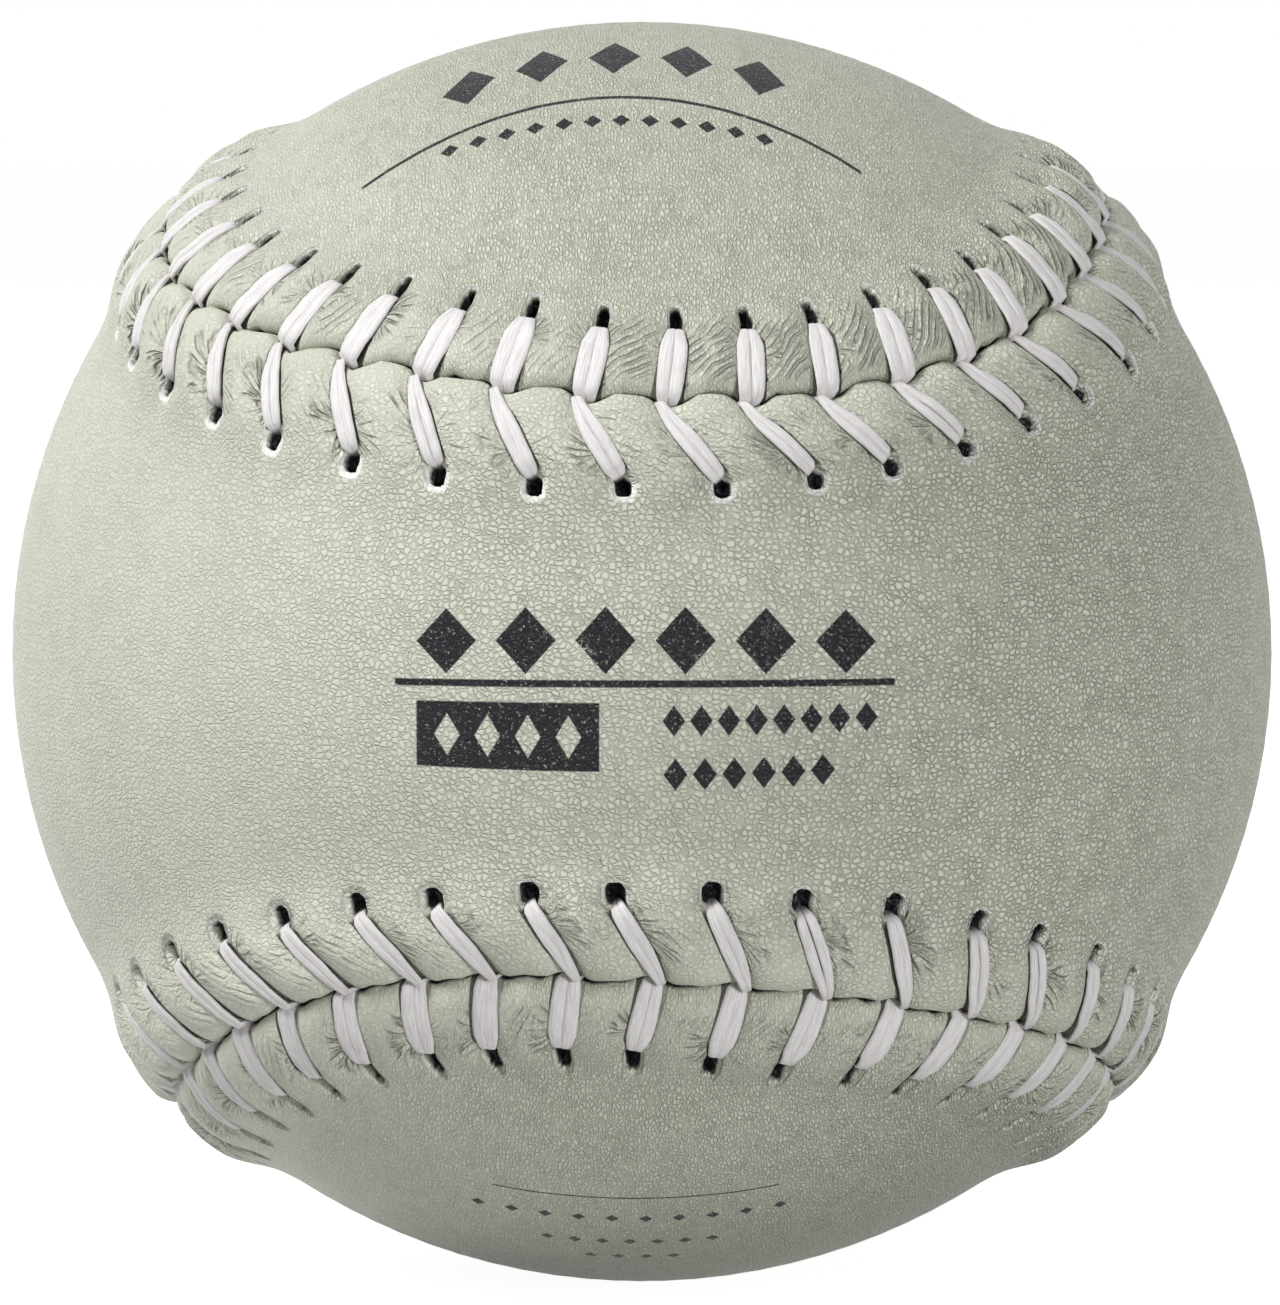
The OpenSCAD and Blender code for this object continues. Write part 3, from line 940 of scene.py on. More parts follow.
@dataclass(frozen=True)
class Marks:
    """Plain printed marks on one cover."""

    bars: tuple[Bar, ...] = ()
    rows: tuple[LozengeRow, ...] = ()
    soft: float = 0.06
    front_half: Ramp = (-2.0, -1.0)

    def local(self, g: Graph, flat: tuple[Socket, Socket], mark: Any) -> tuple[Socket, Socket]:
        """Coordinates from a mark's middle, along it and up from it.

        Args:
            g: The material's nodes.
            flat: Sockets of the place across and up the ball's front.
            mark: The bar or row.

        Returns:
            Sockets of the place along the mark and up from it.
        """
        x = g.math("SUBTRACT", flat[0], mark.x)
        up = g.math("SUBTRACT", flat[1], mark.arc)
        if mark.turn:
            up = g.math("MULTIPLY_ADD", x, -mark.turn, up)
        if mark.bow:
            up = g.math("MULTIPLY_ADD", g.times(x, x), mark.bow, up)
        return x, up

    def bar_mask(self, g: Graph, flat: tuple[Socket, Socket], bar: Bar) -> Socket:
        """1 on a bar and 0 off it.

        Args:
            g: The material's nodes.
            flat: Sockets of the place across and up the ball's front.
            bar: The bar.

        Returns:
            The mask's socket.
        """
        x, up = self.local(g, flat, bar)
        wide = g.math("SUBTRACT", g.unsigned(x), bar.width / 2.0)
        tall = g.math("SUBTRACT", g.unsigned(up), bar.height / 2.0)
        return g.fall(g.math("MAXIMUM", wide, tall), -self.soft, self.soft)

    def row_mask(self, g: Graph, flat: tuple[Socket, Socket], row: LozengeRow) -> Socket:
        """1 on a row's lozenges and 0 off them.

        Args:
            g: The material's nodes.
            flat: Sockets of the place across and up the ball's front.
            row: The row.

        Returns:
            The mask's socket.
        """
        x, up = self.local(g, flat, row)
        half = row.count * row.pitch / 2.0
        inside = g.fall(g.unsigned(x), half - self.soft, half + self.soft)
        cell = g.math("FRACT", g.math("MULTIPLY_ADD", x, 1.0 / row.pitch, row.count / 2.0))
        along = g.unsigned(g.math("SUBTRACT", cell, 0.5))
        slope = g.times(along, 2.0 * row.pitch / row.width)
        slope = g.math("MULTIPLY_ADD", g.unsigned(up), 2.0 / row.height, slope)
        soft = 2.0 * self.soft / min(row.width, row.height)
        return g.times(inside, g.fall(slope, 1.0 - soft, 1.0 + soft))

    def mask(self, g: Graph, where: Socket) -> Socket:
        """How much ink lies at a place, from 0 to 1.

        Args:
            g: The material's nodes.
            where: Object coordinates in millimetres.

        Returns:
            The mask's socket.
        """
        radius = BallSizes().radius
        xyz = g.split(where)
        angle = g.math("ARCTAN2", xyz[2], g.times(xyz[1], -1.0))
        flat = (xyz[0], g.times(angle, radius))
        result = None
        for bar in self.bars:
            part = self.bar_mask(g, flat, bar)
            result = part if result is None else g.math("MAXIMUM", result, part)
        for row in self.rows:
            part = self.row_mask(g, flat, row)
            if row.reversed_out:
                result = g.math("SUBTRACT", result, part)
            else:
                result = part if result is None else g.math("MAXIMUM", result, part)
        front = g.fall(xyz[1], *self.front_half)
        return g.add("Clamp", {0: g.times(result, front)}).outputs[0]


FRONT_MARKS = Marks(
    bars=(Bar(1.06, 0.72, 33.2, 0.5), Bar(-8.0, -2.85, 12.2, 4.6)),
    rows=(
        LozengeRow(-8.0, -2.85, 4, 2.7, 1.7, 2.9, reversed_out=True),
        LozengeRow(1.15, 3.6, 6, 5.3, 4.0, 4.5),
        LozengeRow(9.4, -1.75, 8, 1.82, 1.5, 2.1),
        LozengeRow(8.0, -5.35, 6, 1.95, 1.6, 2.2),
    ),
)
BACK_MARKS = Marks(
    bars=(
        Bar(-1.6, 48.2, 34.0, 0.42, bow=0.019),
        Bar(0.1, -41.4, 19.6, 0.16),
    ),
    rows=(
        LozengeRow(-1.9, 45.1, 12, 1.95, 1.25, 1.5, bow=0.009),
        LozengeRow(-1.6, 55.2, 5, 5.0, 3.6, 6.5, bow=0.019),
        LozengeRow(-0.4, -44.4, 10, 2.3, 0.95, 1.0),
        LozengeRow(-0.4, -48.4, 7, 1.9, 0.95, 1.0),
        LozengeRow(-0.3, -51.6, 4, 1.9, 0.95, 1.0),
    ),
)


@dataclass(frozen=True)
class ThreadFinish:
    """Waxed white cotton with a fine lay of fibres, painted dark as shade where it dives into the stitch holes."""

    fibre: tuple[float, ...] = srgb(236, 233, 233)
    shadow: tuple[float, ...] = srgb(192, 187, 186)
    # Painted shade on the thread inside the stitch holes.
    inside: tuple[float, ...] = srgb(70, 70, 74)
    roughness: float = 0.6
    gloss: float = 0.3
    fibre_height: float = 0.08
    lay_turn: float = 0.22
    lay_stretch: tuple[float, float, float] = (0.35, 5.0, 1.0)
    fibres: Noise = (1.6, 3.0, 0.6)
    fibre_shadow: Ramp = (0.3, 0.62, 0.55, 0.0)
    soil: Noise = (0.35, 2.0)
    soil_shadow: Ramp = (0.55, 0.8, 0.0, 0.35)
    sunk_shade: Ramp = (0.2, 1.0, 0.0, 0.85)

    def build(self, name: str) -> bpy.types.Material:
        """Builds the material.

        Args:
            name: The material's name.

        Returns:
            The material.
        """
        g = Graph(bpy.data.materials.new(name))
        lay = g.pattern("Lay")
        turn = (0.0, 0.0, self.lay_turn)
        turned = g.add("Mapping", {"Vector": lay, "Rotation": turn, "Scale": self.lay_stretch})
        fibres = g.noise(turned.outputs[0], *self.fibres)
        base = g.mix(g.ramp(fibres, *self.fibre_shadow), self.fibre, self.shadow)
        base = g.mix(g.ramp(g.noise(lay, *self.soil), *self.soil_shadow), base, self.shadow)
        # Painted shade where the thread dives into its hole.
        base = g.mix(g.ramp(g.value("deep"), *self.sunk_shade), base, self.inside)
        inputs = {"Base Color": base, "Roughness": self.roughness, "Specular IOR Level": self.gloss}
        return g.surface(g.times(fibres, self.fibre_height), inputs)


@dataclass(frozen=True)
class CoreFinish:
    """A plain finish for a piece inside the ball, with a grain of its own."""

    name: str
    slot: str
    colour: tuple[float, ...]
    dark: tuple[float, ...]
    roughness: float
    stretch: tuple[float, float, float]
    metal: float = 0.0
    grain: Noise = (1.0, 3.0, 0.6)
    grain_edge: Ramp = (0.3, 0.7)
    grain_height: float = 0.2

    def build(self) -> bpy.types.Material:
        """Builds the material.

        Returns:
            The material.
        """
        g = Graph(bpy.data.materials.new(self.name))
        where = g.add("Mapping", {"Vector": g.object_mm(), "Scale": self.stretch}).outputs[0]
        grain = g.noise(where, *self.grain)
        base = g.mix(g.ramp(grain, *self.grain_edge), self.dark, self.colour)
        inputs = {"Base Color": base, "Roughness": self.roughness, "Metallic": self.metal}
        return g.surface(g.times(grain, self.grain_height), inputs)


@dataclass
class CoverPanel:
    """One figure-of-eight leather cover, with its raised edge and stitch holes."""

    side: Side
    sizes: BallSizes
    seam: SeamCurve
    stitching: Stitching
    gap: float = 0.05
    hole_depth: float = 1.25
    hole_wall: Ramp = (0.78, 1.02)
    rim_height: float = 0.08
    rim_at: float = 1.2
    rim_width: float = 0.22
    blend: Ramp = (7.6, 12.0)
    # How far below the leather's top the painted shade in the joint is full.
    dark_drop: float = 0.9
    under_band: tuple[float, ...] = (12.4, 8.0, 4.0)
    inner_rows: int = 11
    inner_span: float = 25.0
    even_shift: int = 4
    under_rows: int = 5
    lip: tuple[tuple[float, float], ...] = (
        (0.0, 1.15),
        (0.0, 0.7),
        (0.015, 0.4),
        (0.06, 0.2),
        (0.15, 0.08),
        (0.3, 0.02),
    )
    band: tuple[float, ...] = (
        0.5, 0.8, 1.15, 1.5, 1.9, 2.3, 2.7, 3.1, 3.5, 3.85, 4.15, 4.4, 4.6, 4.8, 5.0, 5.2, 5.4, 5.6, 5.8,
        6.0, 6.2, 6.4, 6.6, 6.75, 6.9, 7.05, 7.2, 7.4, 7.7, 8.1, 8.7, 9.4, 10.2, 11.2, 12.4,
    )  # fmt: skip

    def columns(self) -> tuple[Array, Array, Array]:
        """Stitch number, offset along the joint and even share of each grid column.

        Returns:
            Three arrays, one entry for each column.
        """
        per = Stitching.COLUMNS
        j = np.arange(self.sizes.stitches * per + 1)
        i = (j + per // 2) // per
        k = j - per * i
        table = np.array(Stitching.OFFSETS)
        offset = np.sign(k) * table[np.abs(k)] * self.seam.pitch / 2.0 / table[-1]
        shift = 0 if self.side is Side.FRONT else self.even_shift
        return i, offset, (j - shift) * self.seam.pitch / per

    def hole(self, d: Array, v: Array, i: Array) -> Array:
        """How far a place lies from the middle of a stitch hole, 1 at the hole's edge.

        Args:
            d: Distance along the joint from the thread.
            v: Distance from the joint.
            i: The stitch's number.

        Returns:
            The distance as a share of the hole.
        """
        grown = self.stitching.grown(i)
        across = np.abs(d) * Stitching.NARROWING / grown / Stitching.HOLE_WIDTH[self.side]
        beyond = (v - self.stitching.hole_at(i, self.side)) / grown - Stitching.HOLE_SHIFT[self.side]
        along = np.abs(beyond) / Stitching.HOLE_LENGTH[self.side]
        power = Stitching.HOLE_POWER
        return (across**power + along**power) ** (1.0 / power)

    def rows(self) -> tuple[Array, Array, Array, Array]:
        """Works out the shell's grid, from its middle line underneath, round the lip and back on top.

        Returns:
            Points, the two pattern coordinates, and how deep in the joint each lies.
        """
        sizes, stitching = self.sizes, self.stitching
        i, offset, even = self.columns()
        sign = self.side.value
        radius = sizes.radius

        def band_row(v: float, drop: float, under: bool) -> tuple[Array, ...]:
            """One row of the raised band, drop below the leather's top or on its underside.

            Args:
                v: The row's distance from the joint.
                drop: How far it lies below the leather's top.
                under: Whether it is on the underside.

            Returns:
                Places, distances along the joint from the thread, places along and across it, and depths.
            """
            vv = np.full(len(i), v)
            blend = smooth(*self.blend, vv)
            lean = stitching.lean(vv, i, self.side)
            s = (stitching.start(i) + lean + offset) * (1.0 - blend) + even * blend
            d = s - stitching.start(i) - lean
            crack = stitching.crack(offset + lean, i) * np.exp(-v / Stitching.WANDER_FADE)
            if under:
                z = stitching.ridge(vv) - sizes.leather
            else:
                z = stitching.top(d, vv, i, self.side) - drop
                near = self.hole(d, vv, i)
                z = z - self.hole_depth * (1.0 - smooth(*self.hole_wall, near))
                z = z + self.rim_height * bell(near - self.rim_at, self.rim_width)
            # How deep a row lies in the joint, which the leather's material paints dark there as shade.
            deep = np.full(len(i), 1.0 if under else min(drop / self.dark_drop, 1.0))
            place = self.seam.directions(s, sign * vv + crack) * (radius + z)[:, None]
            return place, d, s, vv, deep

        def inner_row(share: float, z: float) -> tuple[Array, ...]:
            """One row of the smooth part, a share of the way to the middle line.

            Args:
                share: How much of the way.
                z: Height over the smooth ball.

            Returns:
                The same five columns as a row of the band.
            """
            edge = self.seam.directions(even, np.full(len(i), sign * self.band[-1]))
            middle = self.seam.middle(even, self.side)
            angle = np.arccos(np.clip((edge * middle).sum(-1), -1.0, 1.0))
            a = np.sin(angle * (1.0 - share)) / np.sin(angle)
            b = np.sin(angle * share) / np.sin(angle)
            place = (edge * a[:, None] + middle * b[:, None]) * (radius + z)
            zero = np.zeros(len(i))
            return place, offset, even, zero + self.band[-1] + share * self.inner_span, zero

        result = [inner_row(1.0 - r / self.under_rows, -sizes.leather) for r in range(self.under_rows)]
        result += [band_row(v, 0.0, True) for v in self.under_band]
        result += [band_row(self.gap + v, drop, False) for v, drop in self.lip]
        result += [band_row(v, 0.0, False) for v in self.band]
        result += [inner_row((r + 1) / self.inner_rows, 0.0) for r in range(self.inner_rows)]
        columns = [np.stack(part) for part in zip(*result)]
        place, d, s, v, deep = columns
        stitch_uv = np.stack([d * Stitching.NARROWING, v - stitching.hole_at(i, self.side)], axis=-1)
        seam_uv = np.stack([s, sign * v], axis=-1)
        return place, stitch_uv, seam_uv, deep

    def build(self, name: str) -> bpy.types.Object:
        """Builds the cover's mesh from one grid wrapped round the joint.

        Args:
            name: The piece's name.

        Returns:
            The object.
        """
        place, stitch_uv, seam_uv, deep = self.rows()
        mesh, order, cell = bent_grid(name, place)
        column = cell % place.shape[1]
        faces = column.reshape(-1, 4)
        first = np.repeat(faces.min(axis=1), 4)
        per = Stitching.COLUMNS
        owner = (first + per // 2) // per
        own = (column + per // 2) // per
        step = (own - owner) * self.seam.pitch
        stitch = stitch_uv.reshape(-1, 2)[cell]
        stitch[:, 0] += step * Stitching.NARROWING
        add_uv(mesh, "Stitch", stitch)
        add_uv(mesh, "Seam", seam_uv.reshape(-1, 2)[cell])
        add_value(mesh, "deep", deep.ravel()[order])
        return weld(name, mesh)


def grid_mesh(name: str, rows: int, columns: int) -> bpy.types.Mesh:
    """A flat grid to be bent to shape.

    Args:
        name: The mesh's name.
        rows: Points up the grid.
        columns: Points across it.

    Returns:
        The mesh.
    """
    bm = bmesh.new()
    bmesh.ops.create_grid(bm, x_segments=columns - 1, y_segments=rows - 1, size=1.0)
    mesh = bpy.data.meshes.new(name)
    bm.to_mesh(mesh)
    bm.free()
    return mesh


def grid_order(mesh: bpy.types.Mesh, rows: int, columns: int) -> Array:
    """For each vertex of a flat grid, its place in row-by-row order.

    Args:
        mesh: The grid.
        rows: Points up the grid.
        columns: Points across it.

    Returns:
        One number for each vertex.
    """
    co = np.empty(len(mesh.vertices) * 3, dtype=np.float32)
    mesh.vertices.foreach_get("co", co)
    co = co.reshape(-1, 3)
    low, high = co.min(axis=0), co.max(axis=0)
    column = np.rint((co[:, 0] - low[0]) / (high[0] - low[0]) * (columns - 1)).astype(int)
    row = np.rint((co[:, 1] - low[1]) / (high[1] - low[1]) * (rows - 1)).astype(int)
    return row * columns + column


def bent_grid(name: str, places: Array) -> tuple[bpy.types.Mesh, Array, Array]:
    """A grid bent to shape.

    Args:
        name: The mesh's name.
        places: The grid's points in millimetres, row by row.

    Returns:
        The mesh, and the place in row-by-row order of each vertex and of each face corner.
    """
    rows, columns = places.shape[:2]
    mesh = grid_mesh(name, rows, columns)
    order = grid_order(mesh, rows, columns)
    mesh.vertices.foreach_set("co", (places.reshape(-1, 3) * MM)[order].astype(np.float32).ravel())
    corners = np.empty(len(mesh.loops), dtype=np.int32)
    mesh.loops.foreach_get("vertex_index", corners)
    return mesh, order, order[corners]


def add_uv(mesh: bpy.types.Mesh, name: str, values: Array) -> None:
    """Stores a pattern coordinate at every face corner."""
    layer = mesh.uv_layers.new(name=name)
    layer.data.foreach_set("uv", values.astype(np.float32).ravel())


def add_value(mesh: bpy.types.Mesh, name: str, values: Array) -> None:
    """Stores a number at every vertex."""
    layer = mesh.attributes.new(name, "FLOAT", "POINT")
    layer.data.foreach_set("value", values.astype(np.float32).ravel())


def set_out(name: str, data: bpy.types.ID) -> bpy.types.Object:
    """A new object in the scene.

    Args:
        name: The object's name.
        data: Its mesh, light or camera.

    Returns:
        The object.
    """
    piece = bpy.data.objects.new(name, data)
    bpy.context.scene.collection.objects.link(piece)
    return piece


def weld(name: str, mesh: bpy.types.Mesh, near: float = 2e-6) -> bpy.types.Object:
    """Closes a bent grid where its edges meet and turns its faces outwards.

    Args:
        name: The piece's name.
        mesh: The bent grid.
        near: Points nearer than this to each other become one.

    Returns:
        The object, linked to the scene.
    """
    bm = bmesh.new()
    bm.from_mesh(mesh)
    bmesh.ops.remove_doubles(bm, verts=bm.verts, dist=near)
    bmesh.ops.recalc_face_normals(bm, faces=bm.faces)
    for face in bm.faces:
        face.smooth = True
    bm.to_mesh(mesh)
    open_edges = sum(1 for edge in bm.edges if not edge.is_manifold)
    bm.free()
    LOG.info("%s: %d faces, %d open edges", name, len(mesh.polygons), open_edges)
    return set_out(name, mesh)


@dataclass
class StitchThread:
    """One needle's doubled thread, which shows on each cover in turn.

    The tables give shares of the spread and width, on the front cover and on the back one: ends towards the hole,
    heads from the middle of the arm towards the joint. The bed is how far the thread presses into the leather
    everywhere, and how much more at the joint. The crossing is how far one thread steps over the other there.
    """

    first: Side
    sizes: BallSizes
    seam: SeamCurve
    stitching: Stitching
    strand_width: float = 0.88
    strand_thickness: float = 0.34
    spread: float = 0.39
    sides: int = 12
    girth: float = 3.0
    breadth: tuple[float, float] = (0.83, 1.14)
    slot_start: tuple[float, float] = (0.5, 0.68)
    pinch: float = 0.45
    bed: tuple[float, float] = (0.16, 0.18)
    crossing: float = 0.12
    squareness: tuple[float, float] = (0.8, 0.6)
    thinning: float = 0.25
    closing: float = 1e-7
    ends: tuple[tuple[tuple[float, float], ...], ...] = (
        ((0.66, 0.78), (0.84, 0.91), (0.96, 0.98)),
        ((0.46, 0.62), (0.56, 0.72), (0.74, 0.87)),
    )
    heads: tuple[tuple[tuple[float, float], ...], ...] = (
        ((0.95, 0.98), (0.76, 0.86), (0.56, 0.72), (0.36, 0.54), (0.2, 0.4)),
        ((1.0, 1.03), (0.97, 1.0), (0.92, 0.95), (0.84, 0.88), (0.62, 0.72)),
    )

    def side_at(self, i: int) -> Side:
        """The cover on which stitch i of this thread shows.

        Args:
            i: The stitch's number.

        Returns:
            The cover.
        """
        if i % 2 == 0:
            return self.first
        return Side.FRONT if self.first is Side.BACK else Side.BACK

    def stitch(self, i: int) -> list[tuple[float, float, float, float, float, float]]:
        """The thread's way through stitch i.

        Args:
            i: The stitch's number.

        Returns:
            Places as s, v, height, share of the spread, share of the width and depth in the hole.
        """
        st = self.stitching
        side = self.side_at(i)
        sign = side.value
        num = np.array([i])
        start = float(st.start(num)[0])
        hole = float(st.hole_at(num, side)[0]) - self.slot_start[side.kind]
        breadth = self.breadth[side.kind] * float(st.width[side][i % self.sizes.stitches])
        part = breadth * float(st.part[side][i % self.sizes.stitches])

        def spot(v: float, lift: float, spread: float, width: float, deep: float = 0.0) -> tuple[float, ...]:
            """A place on the arm of the stitch, lift above the leather.

            Args:
                v: Distance from the joint.
                lift: Height over the leather.
                spread: Share of the distance between the strands.
                width: Share of a strand's width.
                deep: Depth in the hole, from 0 to 1.

            Returns:
                The place's six numbers.
            """
            vv = np.array([v])
            lean = float(st.lean(vv, num, side)[0])
            crack = float(st.crack(np.array([lean]), num)[0]) * math.exp(-v / st.WANDER_FADE)
            top = float((st.ridge(vv) - self.bed[0] - self.bed[1] * np.exp(-vv / st.LIP_FADE))[0])
            return (start + lean, sign * v + crack, top + lift, spread * part, width * breadth, deep)

        foot = start + st.FOOT[side]
        joint = float(st.crack(np.array([st.FOOT[side]]), num)[0])
        far = float(st.far(num)[0])
        over = -self.crossing * sign * (2.0 * far - 1.0)
        pinch = 1.0
        if side is Side.BACK:
            pinch -= self.pinch * far * max(0.0, -math.sin(4.0 * math.pi * i / self.sizes.stitches))
        end = [(spread * pinch, width * pinch) for spread, width in self.ends[side.kind]]
        head = self.heads[side.kind]
        return [
            spot(hole + 0.14, -2.2, 0.3, 0.6, 1.0),
            spot(hole + 0.2, -0.9, 0.4, 0.6, 1.0),
            spot(hole + 0.14, -0.12, *end[0], 0.3),
            spot(hole - 0.06, 0.14, *end[1], 0.1),
            spot(hole - 0.6, 0.2, *end[2]),
            spot(hole * 0.76, 0.26, 0.96, 1.0),
            spot(hole * 0.6, 0.27, 1.0, 1.05),
            spot(hole * 0.44, 0.26, *head[0]),
            spot(hole * 0.29, 0.25 + over, *head[1]),
            spot(hole * 0.16, 0.2 + over, *head[2]),
            spot(0.35, 0.1 + over, *head[3]),
            (foot, joint, -0.12, *head[4], 0.7),
            (foot, joint - sign * 0.3, -0.95, 0.3, 0.5, 1.0),
        ]

    def build(self, name: str) -> bpy.types.Object:
        """Builds the thread's two strands as one mesh.

        Args:
            name: The piece's name.

        Returns:
            The object.
        """
        n = self.sizes.stitches
        way = np.array([place for i in range(n) for place in self.stitch(i)])
        line = self.seam.directions(way[:, 0], way[:, 1]) * (self.sizes.radius + way[:, 2])[:, None]
        up = unit(line)
        ahead = np.roll(line, -1, axis=0) - line
        behind = line - np.roll(line, 1, axis=0)
        run = unit(unit(ahead) + unit(behind))
        level = ahead - up * (ahead * up).sum(-1, keepdims=True)
        level += behind - up * (behind * up).sum(-1, keepdims=True)
        wide = unit(np.cross(up, level))
        wide -= run * (wide * run).sum(-1, keepdims=True)
        wide = unit(wide)
        thick = np.cross(run, wide)
        parts = [self.strand(name, way, line, wide, thick, hand) for hand in (-1, 1)]
        bm = bmesh.new()
        for part in parts:
            bm.from_mesh(part)
            bpy.data.meshes.remove(part)
        mesh = bpy.data.meshes.new(name)
        bm.to_mesh(mesh)
        bm.free()
        return weld(name, mesh, self.closing)

    def strand(self, name: str, way: Array, line: Array, wide: Array, thick: Array, hand: int) -> bpy.types.Mesh:
        """One of the thread's two strands.

        Args:
            name: The piece's name.
            way: The thread's way.
            line: Its middle line.
            wide: Unit directions across it.
            thick: Unit directions up from it.
            hand: Which strand, as -1 or 1.

        Returns:
            The strand's mesh.
        """
        angle = np.linspace(0.0, 2.0 * np.pi, self.sides + 1)
        cos, sin = np.cos(angle), np.sin(angle)
        half_w = (self.strand_width / 2.0 * way[:, 4])[:, None, None]
        thinned = 1.0 - self.thinning + self.thinning * way[:, 4]
        half_t = (self.strand_thickness / 2.0 * thinned)[:, None, None]
        square_w, square_t = self.squareness
        middle = line + wide * (hand * self.spread * way[:, 3])[:, None]
        ring = (
            middle[:, None, :]
            + wide[:, None, :] * (np.sign(cos) * np.abs(cos) ** square_w)[None, :, None] * half_w
            + thick[:, None, :] * (np.sign(sin) * np.abs(sin) ** square_t)[None, :, None] * half_t
        )
        mesh, order, cell = bent_grid(name, np.concatenate([ring, ring[:1]]))
        steps = np.linalg.norm(np.diff(np.concatenate([line, line[:1]]), axis=0), axis=1)
        along = np.concatenate([[0.0], np.cumsum(steps)])
        row, column = cell // (self.sides + 1), cell % (self.sides + 1)
        add_uv(mesh, "Lay", np.stack([along[row], column / self.sides * self.girth + hand], axis=-1))
        deep = np.repeat(np.concatenate([way[:, 5], way[:1, 5]]), self.sides + 1)
        add_value(mesh, "deep", deep[order])
        return mesh


@dataclass
class Ball:
    """The whole ball: its visible skin and stitches, and the pieces inside."""

    sizes: BallSizes = field(default_factory=BallSizes)

    def dress(self, piece: bpy.types.Object, material: bpy.types.Material, node: str) -> None:
        """Gives a new piece its finish and its place in the frame.

        Args:
            piece: The new piece.
            material: Its material.
            node: The CAD node that it stands for.
        """
        piece.data.materials.append(material)
        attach(piece, "root")
        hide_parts(node)
        LOG.info("%s stands for %s", piece.name, node)

    def build_skin(self) -> None:
        """Builds the two covers and the two threads."""
        seam = SeamCurve(self.sizes)
        stitching = Stitching(self.sizes, seam)
        leather = LeatherFinish()
        for side, name, marks in (
            (Side.FRONT, "front", FRONT_MARKS),
            (Side.BACK, "back", BACK_MARKS),
        ):
            cover = CoverPanel(side, self.sizes, seam, stitching).build(f"{name}_cover_leather")
            self.dress(cover, leather.build(f"{name} leather", marks, side), f"cover_{name}")
        thread = ThreadFinish().build("waxed thread")
        for side, name in ((Side.FRONT, "one"), (Side.BACK, "two")):
            piece = StitchThread(side, self.sizes, seam, stitching).build(f"stitch_thread_{name}")
            self.dress(piece, thread, f"thread_{name}")

    def dress_inside(self, nodes: dict[str, bpy.types.Object]) -> None:
        """Gives the pieces inside the ball their finishes.

        Args:
            nodes: The frame's objects by name.
        """
        iron = CoreFinish("cast iron", "iron", srgb(120, 122, 125), srgb(84, 85, 88), 0.55, (0.5, 0.5, 0.5), 1.0)
        black = CoreFinish("black rubber", "shell_rubber", srgb(48, 48, 49), srgb(36, 36, 37), 0.7, (0.8, 0.8, 0.8))
        red = CoreFinish("red rubber", "jacket_rubber", srgb(160, 52, 44), srgb(132, 40, 34), 0.6, (0.8, 0.8, 0.8))
        grey = CoreFinish("grey yarn", "yarn_grey", srgb(165, 163, 158), srgb(118, 116, 112), 0.9, (0.4, 0.4, 3.0))
        white = CoreFinish("white yarn", "yarn_white", srgb(236, 231, 218), srgb(190, 184, 168), 0.9, (3.0, 0.4, 0.4))
        cement = CoreFinish("rubber cement", "cement", srgb(214, 196, 142), srgb(188, 168, 112), 0.4, (0.2, 0.2, 0.2))
        plan = {
            "weight_ball": iron,
            "core_shell_upper": black,
            "core_shell_lower": black,
            "core_gasket": red,
            "core_jacket": red,
            "winding_first": grey,
            "winding_second": white,
            "winding_third": grey,
            "winding_finish": white,
            "cement_coat": cement,
        }
        made: dict[str, bpy.types.Material] = {}
        for node, finish in plan.items():
            if finish.name not in made:
                made[finish.name] = finish.build()
            for place in nodes[node].material_slots:
                place.material = made[finish.name]
            LOG.info("%s has %s", node, finish.name)


@dataclass(frozen=True)
class Lamp:
    """A soft, square lamp that points at the ball, in metres and watts."""

    name: str
    place: tuple[float, float, float]
    width: float
    power: float

    def build(self) -> None:
        """Hangs the lamp."""
        data = bpy.data.lights.new(self.name, "AREA")
        data.shape = "SQUARE"
        data.size = self.width
        data.energy = self.power
        lamp = set_out(self.name, data)
        lamp.location = self.place
        lamp.rotation_euler = (-Vector(self.place)).to_track_quat("-Z", "Y").to_euler()


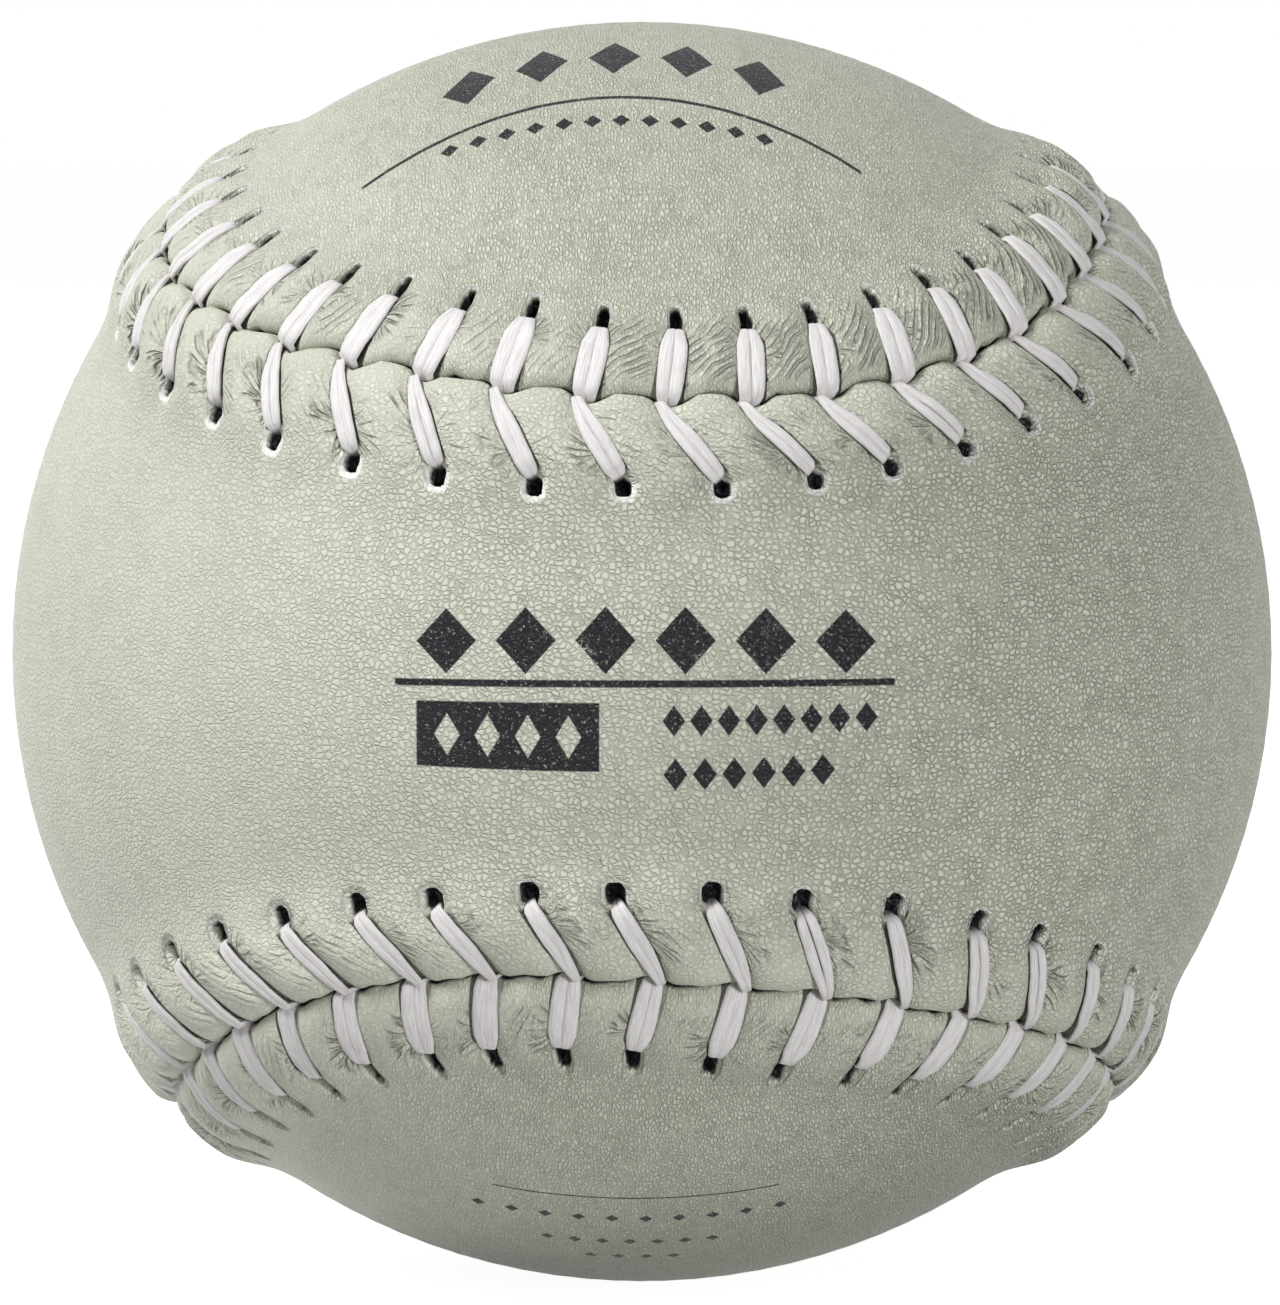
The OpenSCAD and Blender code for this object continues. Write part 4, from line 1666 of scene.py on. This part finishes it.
@dataclass
class Studio:
    """Floor, sky and camera, a key lamp at the upper left, a fill in front at the right and a weak one behind."""

    sizes: BallSizes
    floor_width: float = 12.0
    floor_drop: float = 0.4
    paper: float = 0.52
    glow: float = 0.93
    sky: float = 0.1
    distance: float = 667.0
    azimuth: float = 1.2
    elevation: float = 3.7
    lens: float = 260.0
    sensor: float = 36.0
    clip: tuple[float, float] = (0.01, 50.0)
    shift: tuple[float, float] = (-0.14, -0.07)
    lamps: tuple[Lamp, ...] = (
        Lamp("key lamp", (-0.85, -0.344, 0.983), 0.45, 18.7),
        Lamp("fill lamp", (0.67, -0.993, 0.085), 0.24, 6.7),
        Lamp("rim lamp", (0.77, 0.91, 0.2), 0.5, 0.5),
    )

    def seen(self, g: Graph) -> Socket:
        """1 where the eye, a reflection or clear matter looks, and 0 for the light itself.

        Args:
            g: The nodes of the floor or sky.

        Returns:
            The value's socket.
        """
        path = g.add("LightPath").outputs
        seen = g.math("MAXIMUM", path["Is Glossy Ray"], path["Is Transmission Ray"])
        return g.math("MAXIMUM", path["Is Camera Ray"], seen)

    def build_floor(self) -> None:
        """Lays a plain white floor under the ball."""
        bm = bmesh.new()
        bmesh.ops.create_grid(bm, x_segments=1, y_segments=1, size=self.floor_width / 2.0)
        bmesh.ops.translate(bm, verts=bm.verts, vec=(0.0, 0.0, -(self.sizes.radius + self.floor_drop) * MM))
        mesh = bpy.data.meshes.new("floor")
        bm.to_mesh(mesh)
        bm.free()
        g = Graph(bpy.data.materials.new("white floor"))
        paper = g.add("BsdfDiffuse", {"Color": (self.paper, self.paper, self.paper, 1.0)})
        glow = g.add("Emission", {"Color": WHITE, "Strength": g.times(self.seen(g), self.glow)})
        mesh.materials.append(g.finish(g.add("AddShader", {0: paper.outputs[0], 1: glow.outputs[0]})))
        set_out("floor", mesh)

    def build_sky(self) -> None:
        """Sets a white sky that lights the ball softly."""
        g = Graph(bpy.data.worlds.new("white sky"), "OutputWorld")
        dim = g.add("Background", {"Color": WHITE, "Strength": self.sky})
        white = g.add("Background", {"Color": WHITE, "Strength": 1.0})
        both = g.add("MixShader", {0: self.seen(g), 1: dim.outputs[0], 2: white.outputs[0]})
        bpy.context.scene.world = g.finish(both)

    def build_camera(self) -> None:
        """Sets the camera where the photograph was taken."""
        az, el = math.radians(self.azimuth), math.radians(self.elevation)
        way = Vector((math.sin(az) * math.cos(el), -math.cos(az) * math.cos(el), math.sin(el)))
        data = bpy.data.cameras.new("camera")
        data.lens = self.lens
        data.sensor_fit = "VERTICAL"
        data.sensor_height = self.sensor
        data.clip_start, data.clip_end = self.clip
        camera = set_out("camera", data)
        camera.rotation_euler = (-way).to_track_quat("-Z", "Y").to_euler()
        right = Vector((math.cos(az), math.sin(az), 0.0))
        up = right.cross(-way)
        aim = right * (self.shift[0] * MM) + up * (self.shift[1] * MM)
        camera.location = way * (self.distance * MM) + aim
        bpy.context.scene.camera = camera

    def build(self) -> None:
        """Builds the whole studio."""
        self.build_floor()
        self.build_sky()
        for lamp in self.lamps:
            lamp.build()
        self.build_camera()
        LOG.info("studio built")


def main() -> None:
    """Builds the ball and the studio."""
    logging.basicConfig(level=logging.INFO, format="%(name)s: %(message)s")
    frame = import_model()
    bpy.context.scene.view_settings.view_transform = "Standard"
    ball = Ball()
    ball.dress_inside(frame["nodes"])
    ball.build_skin()
    Studio(ball.sizes).build()


if __name__ == "__main__":
    main()
